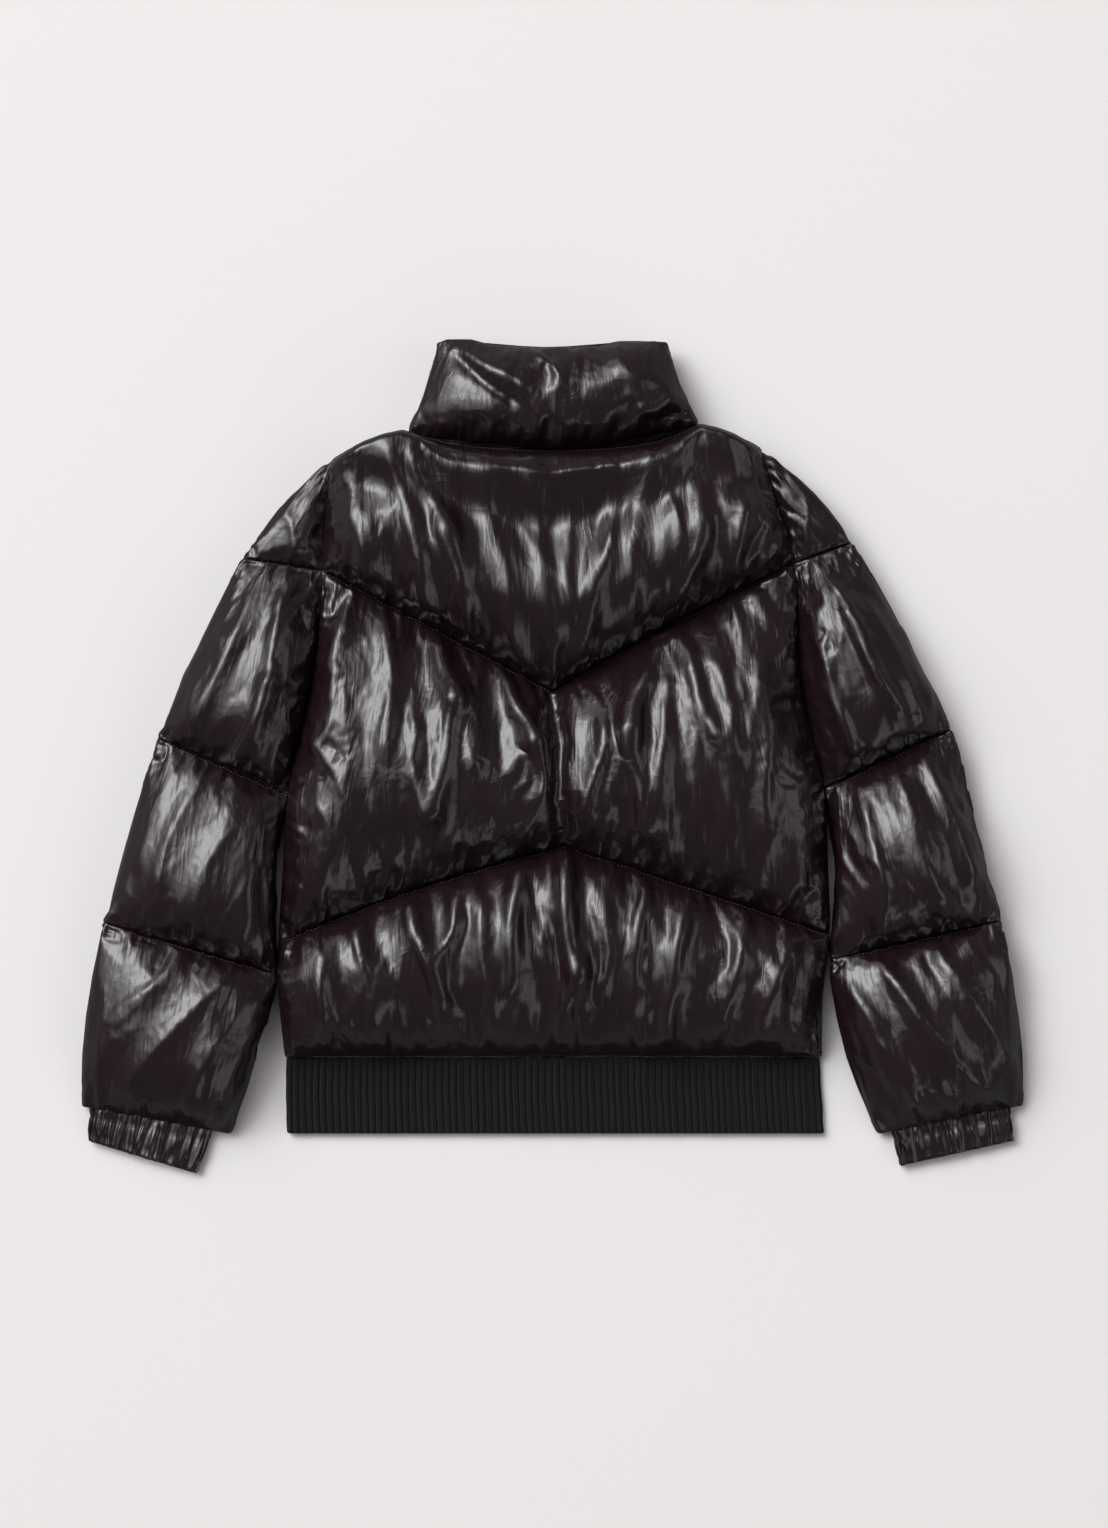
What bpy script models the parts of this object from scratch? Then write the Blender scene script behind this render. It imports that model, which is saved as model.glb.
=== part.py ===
"""A short puffer jacket, lying face down on a flat surface with its back uppermost.

The back and the two fronts are padded panels that lie on each other and meet at the
shoulders, the armholes and the sides. Each sleeve is four padded tubes, one for every
channel between two seams, laid flat, so that its two walls touch, and it ends in a
gathered cuff. A padded stand collar and a ribbed hem band are strips that run from one
side of the front zip round to the other.

Tables are in millimetres. +X is the wearer's right, +Y points to the collar and +Z away
from the surface. The origin is under the middle of the jacket, on the surface.
"""

import math

import bmesh
import bpy
import numpy as np

MM = 0.001

# The middle of the outline, in the frame of the tables below
OUTLINE_MIDDLE = (-0.5, -1.1)

# Clearances: how far each piece's rim stands back from a seam, and the layers from each other
SEAM_INSET = 0.2
ARMHOLE_INSET = 0.35
COLLAR_INSET = 0.4
LAYER_GAP = 0.9

# Heights of the plane in which the two layers touch, above the surface
MID_HEIGHT = 25.0
HEM_MID = 4.6
CUFF_MID = 6.4
HEM_SLOPE_FROM = -110.0

# Padding
SEAM_WALL = 3.6
THINNEST_WALL = 0.4
UNDERSIDE_FULLNESS = 1.5
BACK_LOFT = 44.0
SEAM_ROUND = 62.0
FOLD_ROUND = 42.0

# Where points stand along an edge: how they crowd towards the seam that meets it
CROWDED = np.array([0.0, 0.1, 0.3, 0.6, 1.0])
SEAM_ENDS = ("armhole_top", "yoke_end", "armpit", "lower_end", "hem")

# Hem band and zip
BAND_WALL = 3.9
BAND_FOLD_SHARE = 0.45
BAND_SIDE = {
    "left": ((-229.5, -260.0), (-230.5, -293.0), (-229.0, -325.5)),
    "right": ((229.5, -260.0), (231.0, -293.0), (233.5, -325.5)),
}
BAND_TOP_Y = -260.0
BAND_BOTTOM_Y = -325.5
ZIP_EDGE_X = 10.0
TAPE_THICK = 1.2
TAPE_CLEAR = 0.3
CHAIN_WIDTH = 5.8
CHAIN_THICK = 3.0
ZIP_DEPTH = 5.6
ZIP_LOWEST_MID = 1.9

# Where the seams and the outline go, from the shoulder to the hem.
#   point            left x   left y  right x  right y
BODY_EDGE = (
    ("armhole_top", -189.0, 251.0, 178.0, 259.0),
    ("armhole_high", -194.0, 214.0, 192.0, 212.0),
    ("yoke_end", -197.0, 158.0, 206.0, 164.0),
    ("armhole_mid", -200.5, 98.0, 208.5, 98.0),
    ("armhole_low", -209.0, 45.0, 214.0, 48.0),
    ("armpit", -226.0, -32.0, 231.0, -27.0),
    ("side_high", -230.5, -95.0, 234.5, -90.0),
    ("lower_end", -234.5, -160.0, 236.0, -153.0),
    ("side_low", -235.5, -198.0, 231.0, -204.0),
    ("hem", -230.5, -259.0, 230.5, -259.0),
)
BACK_NECK = (
    (-127.5, 277.0),
    (-90.0, 266.0),
    (-45.0, 261.0),
    (0.0, 259.5),
    (50.0, 261.5),
    (92.0, 268.0),
    (124.5, 282.0),
)
FRONT_NECK_DROP = 46.0
FRONT_NECK_BOW = 9.0
SHOULDER_BOW = 4.0
YOKE_APEX = (0.0, 54.0)
LOWER_APEX = (10.0, -77.0)
YOKE_BOW = 3.0
LOWER_BOW = 5.0

# Sleeve seams: each goes from the outer fold to the inner edge, and bulge is how far the
# outer fold stands outside a straight line on the way to the next seam.
#   seam        outer x  outer y  inner x  inner y  bulge
SLEEVE_SEAMS = {
    "left": (
        ("shoulder", -193.0, 247.5, -189.6, 250.0, 5.0),
        ("cap_seam", -263.5, 168.0, -197.0, 158.0, 3.0),
        ("elbow_seam", -336.0, 14.5, -226.0, -32.0, 1.5),
        ("forearm_seam", -382.5, -143.0, -237.6, -186.0, 5.0),
        ("cuff_seam", -403.0, -302.0, -279.0, -325.0, 0.0),
    ),
    "right": (
        ("shoulder", 182.0, 256.0, 178.6, 258.5, 6.0),
        ("cap_seam", 253.5, 181.0, 206.0, 164.0, 3.0),
        ("elbow_seam", 338.5, 21.5, 231.0, -27.0, 2.0),
        ("forearm_seam", 381.0, -141.0, 238.2, -174.0, 5.0),
        ("cuff_seam", 402.0, -301.0, 281.0, -325.0, 0.0),
    ),
}
# The sleeve's inner edge below the armpit, where it stays clear of the body.
FOREARM_EDGE = {
    "left": ((-227.4, -33.0), (-232.3, -95.0), (-236.3, -160.0), (-237.6, -186.0)),
    "right": ((232.4, -28.0), (236.3, -90.0), (237.8, -153.0), (238.2, -174.0)),
}
LOWER_EDGE = {
    "left": ((-237.6, -186.0), (-239.5, -204.0), (-254.0, -259.0), (-279.0, -325.0)),
    "right": ((238.2, -174.0), (239.5, -200.0), (253.5, -259.0), (281.0, -325.0)),
}
#   cuff corner: top outer, top inner, bottom outer, bottom inner
CUFFS = {
    "left": ((-396.0, -303.4), (-293.0, -322.5), (-400.0, -331.0), (-306.5, -359.0)),
    "right": ((392.0, -303.1), (291.0, -323.1), (395.5, -331.0), (298.5, -352.5)),
}
CUFF_LOFT = 2.4
CUFF_FOLD_ROUND = 10.0
CUFF_EDGE_ROUND = 9.0

# Collar: the top edge, from one side fold to the other, and its sides down to the neck.
COLLAR_TOP = (
    (-98.5, 352.0),
    (-80.0, 357.0),
    (-50.0, 350.5),
    (0.0, 348.5),
    (45.0, 350.0),
    (58.0, 354.0),
    (100.0, 353.0),
)
COLLAR_SIDE = {
    "left": ((-98.5, 352.0), (-112.0, 322.0), (-127.5, 278.0)),
    "right": ((100.0, 353.0), (117.0, 318.0), (124.5, 283.0)),
}
COLLAR_LOFT = 33.0
COLLAR_TOP_ROUND = 26.0
COLLAR_SEAM_ROUND = 44.0
APRON_TUCK = 12.0
APRON_CLEAR = 0.8
SLEEVE_LOFT = {"cap": 36.0, "upper": 40.0, "forearm": 38.0, "lower": 36.0}

# The largest folds: each is a ridge that stands up (or, below zero, a groove) along a line.
#   node               from x  from y   to x    to y  height
FOLDS = (
    ("back_yoke", -133.0, 249.0, -103.0, 122.0, 5.0),
    ("back_yoke", -113.0, 246.0, -83.0, 191.0, 3.5),
    ("back_yoke", -83.0, 191.0, -65.0, 98.0, 5.0),
    ("back_yoke", -20.0, 234.0, 4.0, 120.0, 3.0),
    ("back_yoke", 46.0, 175.0, 26.0, 90.0, 4.0),
    ("back_yoke", 125.0, 217.0, 111.0, 140.0, 4.5),
    ("back_yoke", 159.0, 208.0, 155.0, 149.0, 4.0),
    ("back_middle", -178.0, 100.0, -192.0, 20.0, 4.5),
    ("back_middle", -139.0, 100.0, -136.0, 10.0, 4.5),
    ("back_middle", -98.0, 105.0, -83.0, 47.0, 6.0),
    ("back_middle", -83.0, 47.0, -99.0, -42.0, 6.0),
    ("back_middle", -48.0, 85.0, -14.0, 13.0, 6.0),
    ("back_middle", 0.0, 47.0, 10.0, -64.0, -6.0),
    ("back_middle", 44.0, 21.0, 31.0, -40.0, 4.5),
    ("back_middle", 89.0, 105.0, 67.0, 21.0, 6.0),
    ("back_middle", 67.0, 21.0, 76.0, -60.0, 4.5),
    ("back_middle", 108.0, 98.0, 136.0, 20.0, 5.0),
    ("back_middle", 162.0, 76.0, 176.0, -40.0, 4.0),
    ("back_lower", -170.0, -155.0, -160.0, -225.0, 4.0),
    ("back_lower", -122.0, -119.0, -95.0, -208.0, 5.0),
    ("back_lower", -77.0, -115.0, -92.0, -165.0, 4.0),
    ("back_lower", -28.0, -98.0, -37.0, -195.0, 5.0),
    ("back_lower", 8.0, -81.0, 20.0, -183.0, 6.0),
    ("back_lower", 70.0, -105.0, 60.0, -200.0, 4.0),
    ("back_lower", 116.0, -115.0, 93.0, -235.0, 5.0),
    ("back_lower", 163.0, -128.0, 148.0, -221.0, 4.5),
    ("sleeve_left_upper", -258.0, 132.0, -300.0, 30.0, 4.5),
    ("sleeve_left_forearm", -300.0, -15.0, -334.0, -100.0, 4.5),
    ("sleeve_left_lower", -275.0, -180.0, -365.0, -285.0, 4.5),
    ("sleeve_right_upper", 240.0, 140.0, 292.0, 40.0, 4.5),
    ("sleeve_right_forearm", 290.0, -15.0, 326.0, -120.0, 4.5),
    ("sleeve_right_lower", 278.0, -180.0, 363.0, -280.0, 4.5),
    ("collar", -40.0, 340.0, -72.0, 292.0, 4.0),
    ("collar", 30.0, 335.0, 52.0, 295.0, 3.0),
)
FOLD_WIDTH = 13.0

# Zip pull
SLIDER_Y = 326.0
SLIDER_SIZE = (9.6, 12.0, 8.0)
SLIDER_CLEAR = 0.4
SLIDER_POST = (2.4, 3.6)
EAR_SIZE = (1.2, 3.2, 1.4)
TAPE_TOP_Y = 336.0
PIN_RADIUS = 0.8
PIN_DROP = 2.0
PULL_NECK = 2.6
PULL_EYE_RADIUS = 2.0
PULL_SIZE = (5.6, 26.0, 1.6)
PULL_DROOP = math.radians(29.0)

SHELL = ("glossy_shell", (0.030, 0.022, 0.022), 0.22, 0.0)
RIB = ("rib_knit", (0.016, 0.016, 0.018), 0.85, 0.0)
TAPE = ("zip_tape", (0.015, 0.014, 0.015), 0.8, 0.0)
TEETH = ("zip_teeth", (0.020, 0.018, 0.018), 0.35, 0.0)
METAL = ("zip_metal", (0.045, 0.042, 0.045), 0.3, 0.8)


def clear_scene():
    for found in list(bpy.data.objects):
        bpy.data.objects.remove(found)


def material(spec):
    """A Principled material from (name, colour, roughness, metallic)."""
    name, colour, roughness, metallic = spec
    found = bpy.data.materials.get(name)
    if found:
        return found
    made = bpy.data.materials.new(name)
    made.use_nodes = True
    shader = made.node_tree.nodes["Principled BSDF"]
    shader.inputs["Base Color"].default_value = (*colour, 1.0)
    shader.inputs["Roughness"].default_value = roughness
    shader.inputs["Metallic"].default_value = metallic
    return made


def new_object(name, points_mm, faces, finish):
    """A mesh object from points in millimetres. Its origin is the jacket's."""
    mesh = bpy.data.meshes.new(name)
    mesh.from_pydata((np.asarray(points_mm) * MM).tolist(), [], faces)
    mesh.materials.append(material(finish))
    made = bpy.data.objects.new(name, mesh)
    bpy.context.scene.collection.objects.link(made)
    return made


def cut(target, cutter, operation="DIFFERENCE"):
    """Cuts one object from another, or joins it on, and hides the cutter."""
    modifier = target.modifiers.new(cutter.name, "BOOLEAN")
    modifier.operation = operation
    modifier.object = cutter
    cutter.hide_render = True
    cutter.display_type = "WIRE"


def box(name, low, high, finish):
    """A block between two corners."""
    points = [(x, y, z) for z in (low[2], high[2]) for y in (low[1], high[1]) for x in (low[0], high[0])]
    faces = [(0, 2, 3, 1), (4, 5, 7, 6), (0, 1, 5, 4), (2, 6, 7, 3), (0, 4, 6, 2), (1, 3, 7, 5)]
    return new_object(name, points, faces, finish)


def resample(points, shares):
    """Points at shares, 0..1, of the length of a run of points."""
    points = np.asarray(points, float)
    along = np.concatenate([[0.0], np.cumsum(np.linalg.norm(np.diff(points, axis=0), axis=1))])
    wanted = np.asarray(shares) * along[-1]
    return np.stack([np.interp(wanted, along, points[:, k]) for k in (0, 1)], axis=-1)


def smooth(points, shares_per_span):
    """Points on a Catmull-Rom curve, at the given shares of each span between two points."""
    points = np.asarray(points, float)
    ends = np.vstack([2 * points[0] - points[1], points, 2 * points[-1] - points[-2]])
    found = [points[0]]
    for a, b, c, d, shares in zip(ends, ends[1:], ends[2:], ends[3:], shares_per_span):
        for t in shares[1:]:
            cube = 3 * b - a - 3 * c + d
            found.append(0.5 * (2 * b + (c - a) * t + (2 * a - 5 * b + 4 * c - d) * t**2 + cube * t**3))
    return np.array(found)


def bowed(start, end, bow, count=6):
    """A straight run from start to end, bowed to its left by up to bow in the middle."""
    start, end = np.asarray(start, float), np.asarray(end, float)
    way = end - start
    normal = np.array([-way[1], way[0]]) / np.linalg.norm(way)
    shares = np.linspace(0, 1, count + 1)[:, None]
    return start + shares * way + 4 * bow * shares * (1 - shares) * normal


def joined(*runs):
    """Several runs of points as one, without the repeated ends."""
    return np.vstack([np.asarray(runs[0], float), *(np.asarray(run, float)[1:] for run in runs[1:])])


def shares_along(points):
    """Each point's share, 0..1, of the length of its run."""
    along = np.concatenate([[0.0], np.cumsum(np.linalg.norm(np.diff(points, axis=0), axis=1))])
    return along / along[-1]


def patch(top, bottom, left, right):
    """Points of a panel, as a Coons patch between its four runs of edge points."""
    u = ((shares_along(top) + shares_along(bottom)) / 2)[None, :, None]
    v = ((shares_along(left) + shares_along(right)) / 2)[:, None, None]
    ruled = (1 - v) * top[None] + v * bottom[None] + (1 - u) * left[:, None] + u * right[:, None]
    upper = (1 - u) * top[0] + u * top[-1]
    lower = (1 - u) * bottom[0] + u * bottom[-1]
    return ruled - (1 - v) * upper - v * lower


def inset(points, amount=SEAM_INSET):
    """Moves a panel's rim inwards, so that it stays clear of its neighbours."""
    moved = points.copy()
    for edge, inner in ((0, 1), (-1, -2)):
        away = points[inner] - points[edge]
        moved[edge] += amount * away / np.maximum(np.linalg.norm(away, axis=-1, keepdims=True), 1e-6)
    for edge, inner in ((0, 1), (-1, -2)):
        away = points[:, inner] - points[:, edge]
        moved[:, edge] += amount * away / np.maximum(np.linalg.norm(away, axis=-1, keepdims=True), 1e-6)
    return moved


def stations(count):
    """Shares from 0 to 1 that crowd towards both ends, where the padding curves most."""
    return (1 - np.cos(math.pi * np.arange(count + 1) / count)) / 2


def rise(distance, radius):
    """Height, 0..1, of a rounded edge at a distance from its rim: a quarter of an ellipse."""
    t = np.clip(distance / radius, 0, 1)
    return np.sqrt(1 - (1 - t) ** 2)


def run_lengths(points, axis):
    """Distance of each point from both ends of its row or column, along that line."""
    steps = np.linalg.norm(np.diff(points, axis=axis), axis=-1)
    zero = np.zeros_like(np.take(steps, [0], axis=axis))
    start = np.concatenate([zero, np.cumsum(steps, axis=axis)], axis=axis)
    return start, np.take(start, [-1], axis=axis) - start


def puff(points, radius_across, radius_down):
    """How far, 0..1, the padding stands out over a panel: nothing at its rim."""
    from_left, from_right = run_lengths(points, 1)
    from_top, from_bottom = run_lengths(points, 0)
    sides = rise(from_left, radius_across[0]) * rise(from_right, radius_across[1])
    return sides * rise(from_top, radius_down[0]) * rise(from_bottom, radius_down[1])


def folds(name, points):
    """Height that a panel's folds add, each a bell-shaped ridge that fades past its two ends."""
    height = np.zeros(points.shape[:2])
    for node, from_x, from_y, to_x, to_y, peak in FOLDS:
        if node != name:
            continue
        start = np.array([from_x, from_y])
        way = np.array([to_x - from_x, to_y - from_y])
        share = np.clip((points - start) @ way / (way @ way), 0, 1)
        away = np.linalg.norm(points - start - share[..., None] * way, axis=-1)
        height += peak * np.exp(-((away / FOLD_WIDTH) ** 2))
    return height


def body_mid(points):
    """Height of the plane between the back and the fronts: it falls towards the hem."""
    span = HEM_SLOPE_FROM - BAND_TOP_Y
    fall = np.clip((HEM_SLOPE_FROM - points[..., 1]) / span, 0, 1)
    return MID_HEIGHT - (MID_HEIGHT - HEM_MID) * fall**2


def slab(name, points, upper, lower, finish):
    """A closed panel between two height fields over one grid of points."""
    rows, columns = points.shape[:2]
    top = np.concatenate([points, upper[..., None]], axis=-1).reshape(-1, 3)
    under = np.concatenate([points, lower[..., None]], axis=-1).reshape(-1, 3)
    count = rows * columns
    index = np.arange(count).reshape(rows, columns)
    a, b, c, d = index[:-1, :-1], index[:-1, 1:], index[1:, 1:], index[1:, :-1]
    quads = np.stack([a, d, c, b], axis=-1).reshape(-1, 4)
    faces = quads.tolist() + (quads[:, ::-1] + count).tolist()
    rim = np.concatenate([index[0, :-1], index[:-1, -1], index[-1, :0:-1], index[:0:-1, 0]])
    faces += [(i, j, j + count, i + count) for i, j in zip(rim.tolist(), np.roll(rim, -1).tolist())]
    made = new_object(name, np.vstack([top, under]), faces, finish)
    face_outwards(made)
    return made


def face_outwards(made):
    """Turns a closed mesh's faces outwards."""
    work = bmesh.new()
    work.from_mesh(made.data)
    bmesh.ops.recalc_face_normals(work, faces=work.faces)
    if work.calc_volume(signed=True) < 0:
        bmesh.ops.reverse_faces(work, faces=work.faces)
    work.to_mesh(made.data)
    work.free()


def edge_points(side, first, last):
    """The named points of the body's edge on one side, from one to another."""
    names = [row[0] for row in BODY_EDGE]
    column = 1 if side == "left" else 3
    rows = BODY_EDGE[names.index(first) : names.index(last) + 1]
    return np.array([row[column : column + 2] for row in rows])


def body_edge(side, first, last):
    """The body's edge as a curve. Its points crowd towards the ends of the seams that meet it.

    The back, the front and the sleeve all take these same points, so they stay clear.
    """
    names = [row[0] for row in BODY_EDGE]
    column = 1 if side == "left" else 3
    spans = []
    for start, end in zip(names, names[1:]):
        if start in SEAM_ENDS:
            spans.append(CROWDED)
        elif end in SEAM_ENDS:
            spans.append(1 - CROWDED[::-1])
        else:
            spans.append(np.array([0.0, 0.5, 1.0]))
    curve = smooth([row[column : column + 2] for row in BODY_EDGE], spans)
    counts = np.cumsum([0] + [len(span) - 1 for span in spans])
    return curve[counts[names.index(first)] : counts[names.index(last)] + 1]


def leg(start, end, bow, count=13):
    """One leg of a chevron seam. Its points crowd towards the start, at the body's edge."""
    steps = np.arange(count + 1) / count
    shares = 0.4 * (1 - np.cos(math.pi / 2 * steps)) + 0.6 * steps
    return resample(bowed(start, end, bow, 12), shares)


def chevron(name, apex, bows):
    """A seam across the back from edge to edge that runs to a point in the middle."""
    left, right = edge_points("left", name, name)[0], edge_points("right", name, name)[0]
    return joined(leg(left, apex, bows[0]), leg(right, apex, bows[1])[::-1])


def shoulder(side):
    """The shoulder fold from the top of the armhole to the neck."""
    neck = BACK_NECK[0] if side == "left" else BACK_NECK[-1]
    top = edge_points(side, "armhole_top", "armhole_top")[0]
    run = bowed(top, neck, SHOULDER_BOW if side == "left" else -SHOULDER_BOW, 12)
    return resample(run, [0.0, 0.08, 0.25, 0.5, 0.75, 1.0])


def back_neck():
    """The seam between the back and the collar, from side to side."""
    fine = smooth(BACK_NECK, [np.linspace(0, 1, 9)] * (len(BACK_NECK) - 1))
    return resample(fine, stations(16))


def back_panels():
    """The three pieces of the back, between the shoulders, the two chevron seams and the hem."""
    shoulders = joined(shoulder("left"), back_neck(), shoulder("right")[::-1])
    yoke_seam = chevron("yoke_end", YOKE_APEX, (0.0, -YOKE_BOW))
    lower_seam = chevron("lower_end", LOWER_APEX, (LOWER_BOW, 0.0))
    hem_ends = edge_points("left", "hem", "hem")[0], edge_points("right", "hem", "hem")[0]
    hem = resample(hem_ends, shares_along(chevron("lower_end", LOWER_APEX, (0.0, 0.0))))
    rows = (
        ("back_yoke", shoulders, yoke_seam, "armhole_top", "yoke_end", FOLD_ROUND),
        ("back_middle", yoke_seam, lower_seam, "yoke_end", "lower_end", SEAM_ROUND),
        ("back_lower", lower_seam, hem, "lower_end", "hem", SEAM_ROUND),
    )
    for name, top, bottom, first, last, top_round in rows:
        points = inset(patch(top, bottom, body_edge("left", first, last), body_edge("right", first, last)))
        mid = body_mid(points)
        full = puff(points, (FOLD_ROUND, FOLD_ROUND), (top_round, SEAM_ROUND))
        upper = mid + SEAM_WALL + (BACK_LOFT + folds(name, points)) * full
        slab(name, points, upper, mid + LAYER_GAP / 2, SHELL)


def front_neck(side):
    """Where a front meets the collar, from the shoulder to the zip, lower than the back neck."""
    sign = -1.0 if side == "left" else 1.0
    corner = BACK_NECK[0] if side == "left" else BACK_NECK[-1]
    end = (sign * ZIP_EDGE_X, BACK_NECK[3][1] - FRONT_NECK_DROP)
    return bowed(corner, end, sign * FRONT_NECK_BOW, 4)


def front_panels():
    """The two fronts, each in three pieces, under the back and on the surface."""
    for side, sign in (("left", -1.0), ("right", 1.0)):
        zip_x = sign * ZIP_EDGE_X
        levels = ("armhole_top", "yoke_end", "lower_end", "hem")
        runs = [joined(shoulder(side), front_neck(side))]
        for name in levels[1:]:
            start = edge_points(side, name, name)[0]
            runs.append(resample([start, (zip_x, start[1])], stations(len(runs[0]) - 1)))
        for k, part in enumerate(("upper", "middle", "lower")):
            outer = body_edge(side, levels[k], levels[k + 1])
            centre = resample([runs[k][-1], runs[k + 1][-1]], shares_along(outer))
            points = inset(patch(runs[k], runs[k + 1], outer, centre))
            top_face = body_mid(points) - LAYER_GAP / 2
            full = puff(points, (FOLD_ROUND, FOLD_ROUND), (SEAM_ROUND, SEAM_ROUND))
            wall = np.minimum(SEAM_WALL, top_face - THINNEST_WALL)
            wall[:, -1] = np.minimum(ZIP_DEPTH + CHAIN_THICK / 2, top_face[:, -1] - THINNEST_WALL)
            depth = wall + (top_face - wall) * np.clip(full * UNDERSIDE_FULLNESS, 0, 1)
            slab(f"front_{side}_{part}", points, top_face, top_face - depth, SHELL)


def tube(name, points, mid, loft, rounds, sewn_edge, finish):
    """A padded tube laid flat: its outer form, less the thin slot between its two walls.

    mid is the slot's height, and loft how far the padding of the upper wall stands up. The
    lower wall is flat where it lies on the surface. The slot runs out at both ends, and at the
    last column too where that is a sewn edge.
    """
    full = puff(points, rounds[0], rounds[1])
    low_wall = np.minimum(SEAM_WALL, mid - THINNEST_WALL)
    depth = low_wall + (mid - low_wall) * np.clip(full * UNDERSIDE_FULLNESS, 0, 1)
    made = slab(name, points, mid + SEAM_WALL + (loft + folds(name, points)) * full, mid - depth, finish)
    slot_start = points[:, 0] + 0.6 * (points[:, 2] - points[:, 0])
    slot_end = points[:, -1] + (0.4 if sewn_edge else -0.6) * (points[:, -1] - points[:, -3])
    slot = np.stack([slot_start, slot_end], axis=1)
    level = mid[:, [0, -1]].copy()
    for edge, inner in ((0, 1), (-1, -2)):
        slot[edge] += 0.5 * (slot[edge] - slot[inner])
    cut(made, slab(f"{name}_slot", slot, level + LAYER_GAP / 2, level - LAYER_GAP / 2, finish))
    return made


def sleeve(side):
    """Four padded tubes and a gathered cuff, from the shoulder to the wrist."""
    sign = -1.0 if side == "left" else 1.0
    rows = SLEEVE_SEAMS[side]
    outers = [np.array(row[1:3]) for row in rows]
    inners = [np.array(row[3:5]) for row in rows]
    spans = [CROWDED, np.array([0.0, 0.5, 1.0]), 1 - CROWDED[::-1]]
    inner_edges = {
        "cap": body_edge(side, "armhole_top", "yoke_end"),
        "upper": body_edge(side, "yoke_end", "armpit"),
        "forearm": smooth(FOREARM_EDGE[side], spans),
        "lower": smooth(LOWER_EDGE[side], spans),
    }
    for k, (part, inner) in enumerate(inner_edges.items()):
        outer = resample(bowed(outers[k], outers[k + 1], sign * rows[k][5], 12), shares_along(inner))
        top = resample([outers[k], inner[0]], stations(7))
        bottom = resample([outers[k + 1], inner[-1]], stations(7))
        sewn = part in ("cap", "upper")
        points = inset(patch(top, bottom, outer, inner), ARMHOLE_INSET if sewn else SEAM_INSET)
        mid = np.full(points.shape[:2], MID_HEIGHT)
        if part == "lower":
            mid -= (MID_HEIGHT - CUFF_MID) * shares_along(inner)[:, None] ** 2
        rounds = ((FOLD_ROUND, FOLD_ROUND), (FOLD_ROUND if part == "cap" else SEAM_ROUND, SEAM_ROUND))
        tube(f"sleeve_{side}_{part}", points, mid, SLEEVE_LOFT[part], rounds, sewn, SHELL)
    corners = [np.array(corner) for corner in CUFFS[side]]
    top, bottom = resample(corners[:2], stations(8)), resample(corners[2:], stations(8))
    sides = [resample([corners[k], corners[k + 2]], np.linspace(0, 1, 4)) for k in (0, 1)]
    points = inset(patch(top, bottom, *sides))
    mid = np.full(points.shape[:2], CUFF_MID)
    rounds = ((CUFF_FOLD_ROUND, CUFF_FOLD_ROUND), (CUFF_EDGE_ROUND, CUFF_EDGE_ROUND))
    tube(f"cuff_{side}", points, mid, CUFF_LOFT, rounds, False, SHELL)


def zip_opening(name, target, low_y, high_y, mid):
    """Opens the lower wall of a strip at the centre front, where the zip is sewn in."""
    cutter = box(f"{name}_opening", (-ZIP_EDGE_X, low_y, -5.0), (ZIP_EDGE_X, high_y, mid), SHELL)
    cut(target, cutter)


def collar():
    """The stand collar, a strip round the neck that ends at the zip on both sides.

    The half at the front comes down below the back neck, under the yoke, to the front neck.
    """
    top = resample(smooth(COLLAR_TOP, [np.linspace(0, 1, 9)] * (len(COLLAR_TOP) - 1)), stations(16))
    span = [CROWDED, 1 - CROWDED[::-1]]
    neck = back_neck()
    points = inset(patch(top, neck, *(smooth(edge, span) for edge in COLLAR_SIDE.values())), COLLAR_INSET)
    mid = np.full(points.shape[:2], MID_HEIGHT)
    rounds = ((FOLD_ROUND, FOLD_ROUND), (COLLAR_TOP_ROUND, COLLAR_SEAM_ROUND))
    made = tube("collar", points, mid, COLLAR_LOFT, rounds, False, SHELL)
    lower = joined(front_neck("left"), front_neck("right")[::-1])[1:-1] + (0.0, APRON_CLEAR)
    upper = np.stack([lower[:, 0], np.interp(lower[:, 0], neck[:, 0], neck[:, 1]) + APRON_TUCK], axis=-1)
    sides = [resample([upper[k], lower[k]], [0.0, 0.2, 0.5, 0.8, 0.95, 1.0]) for k in (0, -1)]
    apron = patch(upper, lower, *sides)
    face = np.full(apron.shape[:2], MID_HEIGHT - LAYER_GAP / 2)
    full = puff(apron, (COLLAR_TOP_ROUND, COLLAR_TOP_ROUND), (COLLAR_TOP_ROUND, COLLAR_SEAM_ROUND))
    full[0] = full[1]
    depth = SEAM_WALL + (face - SEAM_WALL) * np.clip(full * UNDERSIDE_FULLNESS, 0, 1)
    cut(made, slab("collar_apron", apron, face, face - depth, SHELL), "UNION")
    zip_opening("collar", made, 180.0, 400.0, MID_HEIGHT)


def hem_band():
    """The ribbed band, folded at both sides and open at the zip."""
    sides = [smooth(edge, [np.array([0.0, 0.5, 1.0])] * 2) for edge in BAND_SIDE.values()]
    top, bottom = (resample([sides[0][k], sides[1][k]], stations(12)) for k in (0, -1))
    points = inset(patch(top, bottom, *sides))
    mid = np.full(points.shape[:2], HEM_MID)
    rim = np.ones_like(mid)
    rim[:, [0, -1]] = BAND_FOLD_SHARE
    made = slab("hem_band", points, mid + BAND_WALL * rim, mid - HEM_MID * rim, RIB)
    slot = points[:, [1, -2]].copy()
    slot[0, :, 1] += BAND_WALL
    slot[-1, :, 1] -= BAND_WALL
    level = mid[:, [1, -2]]
    cut(made, slab("hem_band_slot", slot, level + LAYER_GAP / 2, level - LAYER_GAP / 2, RIB))
    zip_opening("hem_band", made, BAND_BOTTOM_Y - 5.0, BAND_TOP_Y + 5.0, HEM_MID)


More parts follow.
